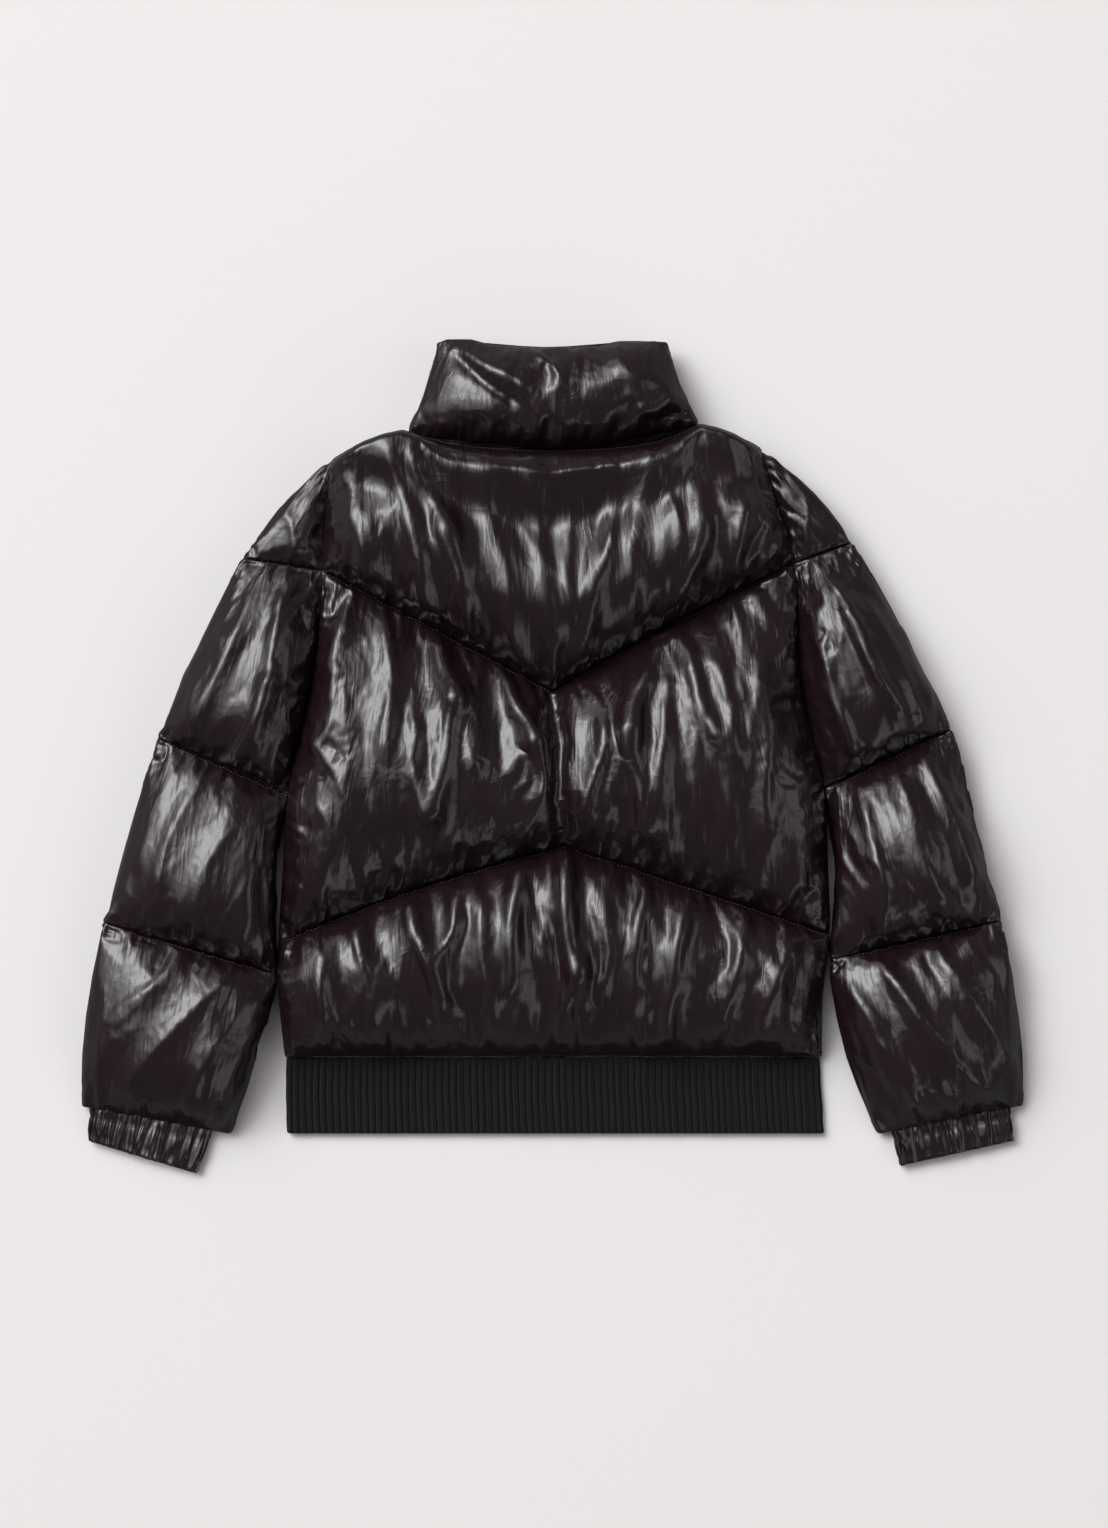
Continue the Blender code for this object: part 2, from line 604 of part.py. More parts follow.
def zip_strip(name, low_x, high_x, thick, top_y, finish):
    """One long part of the zip, from the hem to the collar."""
    slope = np.linspace(HEM_SLOPE_FROM, BAND_TOP_Y, 6)
    down = np.array([top_y, *slope, BAND_BOTTOM_Y + 1.0])
    across = np.array([low_x, high_x])
    points = np.stack(np.meshgrid(across, down), axis=-1)
    centre = np.maximum(body_mid(points) - ZIP_DEPTH, ZIP_LOWEST_MID)
    slab(name, points, centre + thick / 2, centre - thick / 2, finish)


def front_zip():
    """Two tapes and the closed teeth between them, with the slider at the collar."""
    half = CHAIN_WIDTH / 2
    near, far = half + TAPE_CLEAR, ZIP_EDGE_X - TAPE_CLEAR
    zip_strip("zip_tape_left", -far, -near, TAPE_THICK, TAPE_TOP_Y, TAPE)
    zip_strip("zip_tape_right", near, far, TAPE_THICK, TAPE_TOP_Y, TAPE)
    teeth_top = SLIDER_Y + SLIDER_SIZE[1] / 2 - SLIDER_POST[1] - SLIDER_CLEAR
    zip_strip("zip_teeth", -half, half, CHAIN_THICK, teeth_top, TEETH)


def cylinder_x(name, centre, radius, half_length, finish, sides=16):
    """A round bar along X."""
    angles = 2 * math.pi * np.arange(sides) / sides
    ring = np.stack([np.zeros(sides), radius * np.cos(angles), radius * np.sin(angles)], axis=-1)
    points = np.vstack([ring + centre - (half_length, 0, 0), ring + centre + (half_length, 0, 0)])
    faces = [tuple(range(sides - 1, -1, -1)), tuple(range(sides, 2 * sides))]
    faces += [(i, (i + 1) % sides, (i + 1) % sides + sides, i + sides) for i in range(sides)]
    made = new_object(name, points, faces, finish)
    face_outwards(made)
    return made


def pin_centre():
    """Middle of the pin that the pull turns on."""
    return np.array([0.0, SLIDER_Y, MID_HEIGHT - ZIP_DEPTH - SLIDER_SIZE[2] / 2 - PIN_DROP])


def zip_slider():
    """Two plates on a post, with two ears and a pin for the pull on its outer side."""
    width, length, height = SLIDER_SIZE
    level = MID_HEIGHT - ZIP_DEPTH
    low = np.array([-width / 2, SLIDER_Y - length / 2, level - height / 2])
    high = low + SLIDER_SIZE
    made = box("zip_slider", low, high, METAL)
    gap = CHAIN_THICK / 2 + SLIDER_CLEAR
    post_width, post_length = SLIDER_POST
    channel_low = (-width, low[1] - 1.0, level - gap)
    cut(made, box("slider_channel", channel_low, (width, high[1] - post_length, level + gap), METAL))
    for side, near, far in (("left", -width, -post_width), ("right", post_width, width)):
        beside_post = (near, low[1] - 1.0, level - gap)
        cut(made, box(f"slider_{side}", beside_post, (far, high[1] + 1.0, level + gap), METAL))
    pin = pin_centre()
    ear_width, ear_length, ear_drop = EAR_SIZE
    near = PULL_NECK / 2 + TAPE_CLEAR
    far = near + ear_width
    for side, low_x, high_x in (("left", -far, -near), ("right", near, far)):
        ear_low = (low_x, pin[1] - ear_length / 2, pin[2] - ear_drop)
        ear_high = (high_x, pin[1] + ear_length / 2, low[2] + SLIDER_CLEAR)
        cut(made, box(f"slider_ear_{side}", ear_low, ear_high, METAL), "UNION")
    cut(made, cylinder_x("slider_pin", pin, PIN_RADIUS, near + ear_width / 2, METAL), "UNION")


def zip_pull():
    """The pull tab, which turns on the slider's pin and droops to the surface."""
    width, length, thick = PULL_SIZE
    shoulder_y = -2.0 * PULL_EYE_RADIUS
    tab = box("zip_pull", (-width / 2, -length, -thick / 2), (width / 2, shoulder_y, thick / 2), METAL)
    neck_x, neck_z = 0.46 * PULL_NECK, 0.45 * thick
    neck = box("pull_neck", (-neck_x, shoulder_y - 1.0, -neck_z), (neck_x, 0.3, neck_z), METAL)
    eye = cylinder_x("pull_eye", np.zeros(3), PULL_EYE_RADIUS, PULL_NECK / 2, METAL)
    hole = cylinder_x("pull_hole", np.zeros(3), PIN_RADIUS + TAPE_CLEAR, width, METAL)
    cut(tab, neck, "UNION")
    cut(tab, eye, "UNION")
    cut(tab, hole)
    pivot = bpy.data.objects.new("pull_pivot", None)
    bpy.context.scene.collection.objects.link(pivot)
    pivot.location = pin_centre() * MM
    pivot.rotation_euler = (PULL_DROOP, 0.0, 0.0)
    for made in (tab, neck, eye, hole):
        made.parent = pivot


def centre_frame():
    """Moves everything so that the origin is under the middle of the outline."""
    for made in bpy.data.objects:
        if made.parent is None:
            made.location.x -= OUTLINE_MIDDLE[0] * MM
            made.location.y -= OUTLINE_MIDDLE[1] * MM


def main():
    clear_scene()
    back_panels()
    front_panels()
    sleeve("left")
    sleeve("right")
    collar()
    hem_band()
    front_zip()
    zip_slider()
    zip_pull()
    centre_frame()


main()
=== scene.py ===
"""Looks of a short puffer jacket that lies face down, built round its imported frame."""

import bmesh
import bpy
import numpy as np
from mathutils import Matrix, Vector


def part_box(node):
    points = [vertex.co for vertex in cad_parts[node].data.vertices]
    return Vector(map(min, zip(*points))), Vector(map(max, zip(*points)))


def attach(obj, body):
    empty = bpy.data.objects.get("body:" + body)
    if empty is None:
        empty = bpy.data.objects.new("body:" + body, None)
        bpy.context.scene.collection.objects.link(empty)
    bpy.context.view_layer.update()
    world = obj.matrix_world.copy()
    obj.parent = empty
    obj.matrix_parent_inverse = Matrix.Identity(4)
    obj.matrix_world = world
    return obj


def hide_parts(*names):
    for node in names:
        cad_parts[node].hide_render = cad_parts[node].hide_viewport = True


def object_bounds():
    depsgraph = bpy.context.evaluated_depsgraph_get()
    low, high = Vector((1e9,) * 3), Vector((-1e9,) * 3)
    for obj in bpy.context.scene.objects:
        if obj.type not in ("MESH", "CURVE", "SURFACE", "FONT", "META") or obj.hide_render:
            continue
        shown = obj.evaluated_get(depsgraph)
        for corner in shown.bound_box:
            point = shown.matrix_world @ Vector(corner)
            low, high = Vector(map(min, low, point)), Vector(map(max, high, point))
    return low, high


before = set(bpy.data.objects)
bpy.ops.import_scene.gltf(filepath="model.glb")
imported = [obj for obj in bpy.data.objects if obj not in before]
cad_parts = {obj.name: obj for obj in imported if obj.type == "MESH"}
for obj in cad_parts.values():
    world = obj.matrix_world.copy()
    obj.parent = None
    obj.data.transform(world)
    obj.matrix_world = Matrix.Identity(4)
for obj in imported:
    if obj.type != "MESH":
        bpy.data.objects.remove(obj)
cad_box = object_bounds()
MM = 0.001

# ---- Studio ---------------------------------------------------------------------------
# A wide pale floor, one large softbox beyond the collar on the left, brightest at its
# middle, two weaker ones on the right, and a camera that looks straight down from 3 metres.

FLOOR_SIDE = 24.0
FLOOR_DROP = 0.4 * MM
FLOOR_COLOUR = (0.752, 0.741, 0.734)
# The floor's colour as the cloth's gloss sees it: a painted dark reflection.
PAINTED_REFLECTION_COLOUR = (0.16, 0.155, 0.155)
CAMERA_HEIGHT = 3.0
VIEW_TALL = 1.299
VIEW_MIDDLE = (1.3 * MM, -6.5 * MM)
CLOTH_HEIGHT = 0.04


def plain_material(name, colour, roughness):
    """A material of one colour and one roughness."""
    made = bpy.data.materials.new(name)
    made.use_nodes = True
    shader = made.node_tree.nodes["Principled BSDF"]
    shader.inputs["Base Color"].default_value = (*colour, 1.0)
    shader.inputs["Roughness"].default_value = roughness
    return made


def mix_node(tree, factor, low, high):
    """A blend of two colours by a factor socket."""
    node = tree.nodes.new("ShaderNodeMix")
    node.data_type = "RGBA"
    node.inputs["A"].default_value = (*low, 1.0)
    node.inputs["B"].default_value = (*high, 1.0)
    tree.links.new(factor, node.inputs["Factor"])
    return node.outputs["Result"]


half = FLOOR_SIDE / 2
floor_mesh = bpy.data.meshes.new("floor")
floor_corners = [(-half, -half, 0), (half, -half, 0), (half, half, 0), (-half, half, 0)]
floor_mesh.from_pydata(floor_corners, [], [(0, 1, 2, 3)])
floor_finish = plain_material("pale floor", FLOOR_COLOUR, 0.9)
# For glossy rays the floor is painted dark: the cloth's gloss shows a painted dark reflection in place
# of the pale floor.
floor_tree = floor_finish.node_tree
sight = floor_tree.nodes.new("ShaderNodeLightPath")
painted_dark_reflection = mix_node(floor_tree, sight.outputs["Is Glossy Ray"], FLOOR_COLOUR, PAINTED_REFLECTION_COLOUR)
floor_tree.links.new(painted_dark_reflection, floor_tree.nodes["Principled BSDF"].inputs["Base Color"])
floor_mesh.materials.append(floor_finish)
floor = bpy.data.objects.new("floor", floor_mesh)
floor.location.z = -FLOOR_DROP
bpy.context.scene.collection.objects.link(floor)

world = bpy.data.worlds.new("studio")
world.use_nodes = True
bpy.context.scene.world = world
world_nodes = world.node_tree.nodes
world_links = world.node_tree.links
room = world_nodes["Background"]
room.inputs["Color"].default_value = (1.0, 0.94, 0.935, 1.0)
room.inputs["Strength"].default_value = 0.135
backdrop = world_nodes.new("ShaderNodeBackground")
backdrop.inputs["Color"].default_value = (0.80, 0.795, 0.79, 1.0)
ray = world_nodes.new("ShaderNodeLightPath")
either = world_nodes.new("ShaderNodeMixShader")
world_links.new(ray.outputs["Is Camera Ray"], either.inputs["Fac"])
world_links.new(room.outputs["Background"], either.inputs[1])
world_links.new(backdrop.outputs["Background"], either.inputs[2])
world_links.new(either.outputs["Shader"], world_nodes["World Output"].inputs["Surface"])

#   name            x     y     z    wide  tall  watts  colour
SOFTBOXES = (
    ("key core", -9.4, 8.6, 13.2, 9.5, 7.5, 2150.0, (0.97, 0.98, 1.0)),
    ("key", -9.4, 8.6, 13.2, 18.0, 14.0, 2080.0, (1.0, 0.985, 0.975)),
    ("key skirt", -9.4, 8.6, 13.2, 29.0, 25.0, 2080.0, (1.0, 0.97, 0.96)),
    ("fill", 10.8, 0.0, 8.0, 7.6, 7.2, 150.0, (1.0, 1.0, 1.0)),
    ("low fill", 9.5, -12.0, 7.5, 15.0, 6.0, 250.0, (1.0, 0.99, 0.98)),
)
for name, x, y, z, wide, tall, watts, colour in SOFTBOXES:
    light = bpy.data.lights.new(name, "AREA")
    light.shape = "RECTANGLE"
    light.size = wide
    light.size_y = tall
    light.energy = watts
    light.color = colour
    lamp = bpy.data.objects.new(name, light)
    lamp.location = (x, y, z)
    lamp.visible_camera = False
    aim = -lamp.location.normalized()
    lamp.rotation_euler = aim.to_track_quat("-Z", "Y").to_euler()
    bpy.context.scene.collection.objects.link(lamp)

camera_data = bpy.data.cameras.new("camera")
camera_data.lens = 36.0 * (CAMERA_HEIGHT - CLOTH_HEIGHT) / VIEW_TALL
camera = bpy.data.objects.new("camera", camera_data)
camera.location = (*VIEW_MIDDLE, CAMERA_HEIGHT)
bpy.context.scene.collection.objects.link(camera)
bpy.context.scene.camera = camera
bpy.context.scene.view_settings.view_transform = "Standard"

# ---- Back panels ----------------------------------------------------------------------
# Three padded panels of glossy coated nylon over loose filling, sewn together on two
# chevron seams and sewn to the shoulders, the sleeves, the collar and the hem band.

GLOSS_DARK = (0.0066, 0.0029, 0.0034)
GLOSS_WARM = (0.0120, 0.0055, 0.0063)


def node_group(name, sockets):
    """An empty shader node group with named sockets: (name, type, in or out, default)."""
    group = bpy.data.node_groups.new(name, "ShaderNodeTree")
    for label, kind, way, default in sockets:
        socket = group.interface.new_socket(name=label, in_out=way, socket_type=kind)
        if default is not None:
            socket.default_value = default
    return group, group.nodes.new("NodeGroupInput"), group.nodes.new("NodeGroupOutput")


def math_node(tree, operation, *values):
    """A Math node. Each value is a number or the socket that feeds it."""
    node = tree.nodes.new("ShaderNodeMath")
    node.operation = operation
    for slot, value in zip(node.inputs, values):
        if isinstance(value, (int, float)):
            slot.default_value = value
        else:
            tree.links.new(value, slot)
    return node.outputs[0]


def cloth_group(tree, group, distance, strength):
    """A group node fed by the map named cloth, its Height bumping the material's surface."""
    uv = tree.nodes.new("ShaderNodeUVMap")
    uv.uv_map = "cloth"
    node = tree.nodes.new("ShaderNodeGroup")
    node.node_tree = group
    tree.links.new(uv.outputs["UV"], node.inputs["UV"])
    bump = tree.nodes.new("ShaderNodeBump")
    bump.inputs["Distance"].default_value = distance
    bump.inputs["Strength"].default_value = strength
    tree.links.new(node.outputs["Height"], bump.inputs["Height"])
    tree.links.new(bump.outputs["Normal"], tree.nodes["Principled BSDF"].inputs["Normal"])
    return node


def noise_node(tree, vector, scale, detail, roughness, distortion):
    """A Noise Texture on the given coordinates."""
    node = tree.nodes.new("ShaderNodeTexNoise")
    tree.links.new(vector, node.inputs["Vector"])
    settings = {"Scale": scale, "Detail": detail, "Roughness": roughness, "Distortion": distortion}
    for label, value in settings.items():
        node.inputs[label].default_value = value
    return node.outputs["Fac"]


def crumple_group():
    """Fine creasing of thin coated cloth: heights in metres, and a slow 0..1 mottle.

    Each layer is (1 - |2 n - 1|) ** 2.5 of a noise n, with sharp crests where n crosses a half.
    Two layers are drawn out along V, the way the long folds run. The third runs all ways.
    """
    group, given, result = node_group("crumpled coating", (
        ("UV", "NodeSocketVector", "INPUT", None),
        ("Height", "NodeSocketFloat", "OUTPUT", None),
        ("Mottle", "NodeSocketFloat", "OUTPUT", None),
    ))
    drawn = group.nodes.new("ShaderNodeMapping")
    drawn.inputs["Scale"].default_value = (1.0, 0.22, 1.0)
    group.links.new(given.outputs["UV"], drawn.inputs["Vector"])
    total = None
    for vector, scale, detail, height in (
        (drawn.outputs["Vector"], 62.0, 2.0, 0.44 * MM),
        (drawn.outputs["Vector"], 150.0, 2.0, 0.12 * MM),
        (given.outputs["UV"], 40.0, 2.0, 0.26 * MM),
    ):
        wave = noise_node(group, vector, scale, detail, 0.5, 0.6)
        folded = math_node(group, "ABSOLUTE", math_node(group, "MULTIPLY_ADD", wave, 2.0, -1.0))
        crest = math_node(group, "POWER", math_node(group, "SUBTRACT", 1.0, folded), 2.5)
        layer = math_node(group, "MULTIPLY", crest, height)
        total = layer if total is None else math_node(group, "ADD", total, layer)
    group.links.new(total, result.inputs["Height"])
    mottle = noise_node(group, given.outputs["UV"], 9.0, 3.0, 0.55, 0.4)
    group.links.new(mottle, result.inputs["Mottle"])
    return group


def shell_material():
    """Coated nylon: brown-black, a soft wide gloss under a sharper thin coat."""
    made = bpy.data.materials.new("glossy coated nylon")
    made.use_nodes = True
    tree = made.node_tree
    shader = tree.nodes["Principled BSDF"]
    mottle = cloth_group(tree, crumple_group(), 1.0, 1.0).outputs["Mottle"]
    tree.links.new(mix_node(tree, mottle, GLOSS_DARK, GLOSS_WARM), shader.inputs["Base Color"])
    tree.links.new(math_node(tree, "MULTIPLY_ADD", mottle, 0.14, 0.19), shader.inputs["Roughness"])
    shader.inputs["IOR"].default_value = 1.50
    shader.inputs["Coat Weight"].default_value = 0.25
    shader.inputs["Coat Roughness"].default_value = 0.16
    return made


SHELL = shell_material()


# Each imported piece's corners seen from above, in millimetres. A piece's rim is cut into four
# runs at its points nearest to them.
#   node                 top left      top right     bottom left   bottom right
CORNERS = {
    "back_yoke": ((-188, 252), (178, 260), (-196, 159), (206, 165)),
    "back_middle": ((-196, 159), (206, 165), (-234, -159), (236, -152)),
    "back_lower": ((-234, -159), (236, -152), (-230, -258), (231, -258)),
    "front_left_upper": ((-188, 252), (-9, 215), (-196, 159), (-9, 159)),
    "front_left_middle": ((-196, 159), (-9, 159), (-234, -159), (-9, -159)),
    "front_left_lower": ((-234, -159), (-9, -159), (-230, -258), (-9, -258)),
    "front_right_upper": ((10, 215), (178, 260), (10, 165), (206, 165)),
    "front_right_middle": ((10, 165), (206, 165), (10, -152), (236, -152)),
    "front_right_lower": ((10, -152), (236, -152), (10, -258), (231, -258)),
    "sleeve_left_cap": ((-192, 249), (-189, 251), (-263, 169), (-197, 159)),
    "sleeve_left_upper": ((-263, 169), (-197, 159), (-335, 16), (-226, -31)),
    "sleeve_left_forearm": ((-335, 16), (-227, -31), (-382, -142), (-237, -185)),
    "sleeve_left_lower": ((-382, -142), (-237, -185), (-402, -301), (-279, -324)),
    "sleeve_right_cap": ((179, 259), (183, 257), (206, 165), (254, 182)),
    "sleeve_right_upper": ((206, 165), (254, 182), (231, -26), (339, 23)),
    "sleeve_right_forearm": ((232, -26), (339, 23), (239, -173), (381, -140)),
    "sleeve_right_lower": ((239, -173), (381, -140), (281, -324), (402, -300)),
    "collar": ((-98, 353), (100, 354), (-127, 279), (125, 284)),
}
RIM_REACH = 0.25 * MM
WALL_LEAST = 1.5 * MM
RIM_GRID = 0.05 * MM
APRON_TOP = 24.6 * MM
UPRIGHT = 0.02


def node_points(node):
    """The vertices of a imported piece."""
    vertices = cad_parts[node].data.vertices
    places = np.empty(3 * len(vertices))
    vertices.foreach_get("co", places)
    return places.reshape(-1, 3)


def rim(node, facing):
    """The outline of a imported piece, anticlockwise from above, at its upper or its lower rim.

    The rim is where the piece has upright faces. It is moved out a quarter of a millimetre,
    to meet its neighbour on the seam between them. facing is 1 for the upper rim, -1 the lower.
    """
    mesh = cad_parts[node].data
    places = node_points(node)
    corners = np.empty(3 * len(mesh.polygons), np.int32)
    mesh.polygons.foreach_get("vertices", corners)
    corners = corners.reshape(-1, 3)
    a, b, c = (places[corners[:, k]] for k in range(3))
    normal = np.cross(b - a, c - a)
    size = np.linalg.norm(normal, axis=1)
    upright = np.zeros(len(a), bool)
    for start, end in ((a, b), (b, c), (c, a)):
        side = np.abs(end - start)
        upright |= (side[:, :2].max(axis=1) < RIM_GRID) & (side[:, 2] > WALL_LEAST)
    upright &= np.abs(normal[:, 2]) < UPRIGHT * size
    if node == "collar":
        upright &= np.minimum(np.minimum(a[:, 2], b[:, 2]), c[:, 2]) > APRON_TOP
    points = places[np.unique(corners[upright])]
    keys, group = np.unique(np.round(points[:, :2] / RIM_GRID), axis=0, return_inverse=True)
    level = np.full(len(keys), -1.0 * facing)
    (np.maximum if facing > 0 else np.minimum).at(level, group.ravel(), points[:, 2])
    loop = np.column_stack([keys * RIM_GRID, level])
    table = np.array(CORNERS[node]) * MM
    middle = table.mean(axis=0)
    loop = loop[np.argsort(np.arctan2(loop[:, 1] - middle[1], loop[:, 0] - middle[0]))]
    way = np.roll(loop, -1, axis=0)[:, :2] - np.roll(loop, 1, axis=0)[:, :2]
    way /= np.linalg.norm(way, axis=1, keepdims=True)
    loop[:, :2] += RIM_REACH * np.column_stack([way[:, 1], -way[:, 0]])
    return loop


def rim_runs(node, facing):
    """A rim's top, bottom, left and right runs between its corners, going right or down."""
    loop = rim(node, facing)
    corners = np.array(CORNERS[node]) * MM
    places = ((loop[None, :, :2] - corners[:, None]) ** 2).sum(axis=-1).argmin(axis=1)

    def between(start, end):
        end += len(loop) if end < start else 0
        return loop[np.arange(start, end + 1) % len(loop)]

    top_left, top_right, bottom_left, bottom_right = places
    top = between(top_right, top_left)[::-1]
    right = between(bottom_right, top_right)[::-1]
    return top, between(bottom_left, bottom_right), between(top_left, bottom_left), right


def running(steps):
    """Lengths from the start of a line, 0 first, by the lengths of its steps."""
    return np.concatenate([[0.0], np.cumsum(steps)])


def along_line(wanted, along, values):
    """Values, by columns, of a line at the wanted lengths from its start."""
    return np.stack([np.interp(wanted, along, column) for column in values.T], axis=-1)


def at_shares(run, shares):
    """Points at shares, 0..1, of a run's length seen from above."""
    along = running(np.linalg.norm(np.diff(run[:, :2], axis=0), axis=1))
    return along_line(np.asarray(shares) * along[-1], along, run)


def run_length(run):
    """The length of a run seen from above."""
    return np.linalg.norm(np.diff(run[:, :2], axis=0), axis=1).sum()


def rise(distance, radius):
    """Height, 0..1, of a padded edge at a distance from its rim.

    It is (1 - (1 - share) ** 2) ** 0.68, a little slacker at the rim than a round edge.
    """
    share = np.clip(distance / radius, 0, 1)
    return (1 - (1 - share) ** 2) ** 0.68


def even_shares(length, loft, first_round, last_round, step):
    """Shares of a length at which points stand a step apart on its puffed-up profile."""
    fine = np.linspace(0, length, 2001)
    height = loft * rise(fine, first_round) * rise(length - fine, last_round)
    along = running(np.hypot(np.diff(fine), np.diff(height)))
    count = 2 * max(2, round(along[-1] / step / 2))
    return np.interp(np.linspace(0, along[-1], count + 1), along, fine) / length


def yoke_rise(distance, length):
    """The yoke stands up at once from under the collar, sinks, then swells again lower down.

    The hollow is a bell, exp(-((share - 0.31) / 0.17) ** 2), deeper where the yoke is longer.
    """
    hollow = np.exp(-(((distance / length - 0.31) / 0.17) ** 2))
    return rise(distance, 9 * MM) * (0.97 - 0.46 * hollow * np.clip(length / (215 * MM), 0, 1) ** 1.5)


def patch(runs, across, down):
    """A Coons patch: the mean of the two ruled surfaces between its edges, less the corners."""
    top, bottom = (at_shares(run, across) for run in runs[:2])
    left, right = (at_shares(run, down) for run in runs[2:])
    u, v = np.asarray(across)[None, :, None], np.asarray(down)[:, None, None]
    ruled = (1 - v) * top[None] + v * bottom[None] + (1 - u) * left[:, None] + u * right[:, None]
    corner_top = (1 - u) * top[0] + u * top[-1]
    corner_bottom = (1 - u) * bottom[0] + u * bottom[-1]
    return ruled - (1 - v) * corner_top - v * corner_bottom


def edge_distances(points):
    """Distance of each grid point from the left, right, top and bottom edges, seen from above."""
    found = []
    for axis in (1, 0):
        steps = np.linalg.norm(np.diff(points[..., :2], axis=axis), axis=-1)
        start = np.concatenate([np.zeros_like(np.take(steps, [0], axis)), np.cumsum(steps, axis)], axis)
        found += [start, np.take(start, [-1], axis) - start]
    return found


def ridges(points, rows):
    """Long folds: each row is from x, y to x, y, half width and height, in millimetres.

    The height falls off as exp(-|d / w| ** 1.45) with the distance d from the fold's line, and
    the line sways a little to each side on its way, as a fold in loose cloth does.
    """
    total = np.zeros(points.shape[:2])
    for from_x, from_y, to_x, to_y, width, height in rows:
        start = np.array([from_x, from_y]) * MM
        way = np.array([to_x - from_x, to_y - from_y]) * MM
        offset = points[..., :2] - start
        share = offset @ way / (way @ way)
        normal = np.array([-way[1], way[0]]) / np.linalg.norm(way)
        sway = 0.22 * width * MM * np.sin(5.0 * share + from_x)
        beyond = (np.clip(share, 0, 1) - share) * np.linalg.norm(way)
        away = np.hypot(offset @ normal - sway, 0.6 * beyond)
        total += height * MM * np.exp(-np.abs(away / (width * MM)) ** 1.45)
    return total


def scattered(rng, points, count, lean, spread):
    """Rows for ridges(): long thin folds at random places, all near one direction.

    lean is that direction, in radians clockwise from straight down, and spread how far a fold
    may turn from it.
    """
    flat = points[2:-2, 2:-2].reshape(-1, 3)
    starts = flat[rng.integers(0, len(flat), count), :2] / MM
    turn = lean + rng.normal(0, spread, count)
    long = rng.uniform(35, 130, count)
    ends = starts + np.column_stack([-np.sin(turn), -np.cos(turn)]) * long[:, None]
    width = rng.uniform(3.2, 6.5, count)
    height = width * rng.uniform(0.10, 0.34, count) * rng.choice([1.0, -0.7], count)
    return np.column_stack([starts, ends, width, height])


def gathers(rng, along, away, spacing, length, height):
    """Folds that run off a seam where its cloth is gathered.

    Every fold has its own place, width, lean, length and height: a bell across, which starts a
    little way from the seam and fades with the square of the distance from it.
    """
    total = np.zeros(along.shape)
    reach = along.max()
    for place in np.arange(0, reach, spacing):
        middle = place + spacing * rng.uniform(-0.45, 0.45)
        width = spacing * rng.uniform(0.22, 0.42)
        lean = rng.uniform(-0.25, 0.25)
        far = length * rng.uniform(0.45, 1.35)
        tall = height * rng.uniform(0.35, 1.25)
        bell = np.exp(-(((along - middle - lean * away) / (width * (1 + 0.6 * away / length))) ** 2))
        total += tall * bell * np.clip(away / (2.5 * MM), 0, 1) * np.exp(-((away / far) ** 2))
    return total


soft = []


def soft_piece(name, node, grid, pinned, wrapped, seams, cap, finish):
    """Notes a padded skin that the cloth settling below works on.

    grid is rows by columns of points, wrapped when the last column meets the first, seams the
    (along, away) distances of each gathered seam, and cap how far a point may move.
    """
    soft.append({
        "name": name, "node": node, "grid": grid, "pinned": pinned, "wrapped": wrapped,
        "seams": seams, "cap": cap, "finish": finish,
    })


STEP = 4.4 * MM
SIDE_ROUND = 46 * MM
BACK_SEED = 11
BACK_LOFT = 0.8
SEAM_FADE = 4 * MM

#   node           top   bottom: shares of a panel's length that its padding rounds off
ARCHES = {
    "back_yoke": (0.6, 0.36),
    "back_middle": (0.64, 0.36),
    "back_lower": (0.58, 0.42),
}

#   from x  from y    to x    to y  width  height
BACK_FOLDS = {
    "back_yoke": (
        (-133, 249, -103, 122, 11.7, 6.2),
        (-116, 246, -88, 188, 9.1, 5),
        (-88, 190, -66, 98, 10.4, 6.9),
        (-52, 228, -34, 100, 15.6, 5),
        (-18, 226, 2, 112, 14.3, 5),
        (14, 215, 16, 130, 13, 3.1),
        (46, 185, 26, 86, 10.4, 5.6),
        (78, 222, 62, 105, 16.9, 5),
        (98, 200, 90, 120, 11.7, 3.8),
        (125, 217, 111, 140, 11.7, 5.6),
        (159, 208, 155, 149, 10.4, 5.6),
        (-172, 230, -160, 165, 11.7, 4.4),
    ),
    "back_middle": (
        (-178, 100, -192, 20, 11.7, 5.6),
        (-139, 100, -136, 10, 11.7, 5.6),
        (-98, 105, -83, 47, 9.1, 8.1),
        (-83, 47, -99, -42, 10.4, 7.5),
        (-117, 25, -108, -45, 10.4, 5),
        (-70, 55, -64, -5, 9.1, 4.4),
        (-48, 85, -14, 13, 9.1, 7.5),
        (-14, 13, -7, -28, 9.1, 6.2),
        (0, 47, 10, -68, 9.1, -8.8),
        (44, 21, 31, -40, 9.1, 5.6),
        (89, 105, 67, 21, 10.4, 8.1),
        (67, 21, 76, -60, 10.4, 6.2),
        (95, 60, 87, -60, 10.4, 4.4),
        (108, 98, 136, 20, 10.4, 6.2),
        (138, 76, 155, 4, 11.7, 5),
        (176, 60, 182, -60, 11.7, 4.4),
    ),
    "back_lower": (
        (-200, -165, -190, -220, 10.4, 4.4),
        (-165, -150, -150, -225, 10.4, 5),
        (-122, -119, -95, -208, 10.4, 6.9),
        (-77, -115, -92, -165, 9.1, 5.6),
        (-60, -130, -50, -225, 10.4, 4.4),
        (-28, -98, -37, -195, 10.4, 6.9),
        (8, -81, 20, -183, 9.1, 8.1),
        (20, -183, 6, -240, 9.1, 6.2),
        (48, -100, 44, -190, 9.1, 5),
        (78, -112, 66, -215, 10.4, 5),
        (116, -115, 93, -235, 10.4, 6.9),
        (163, -128, 148, -221, 10.4, 5.6),
        (196, -165, 178, -230, 10.4, 4.4),
    ),
}


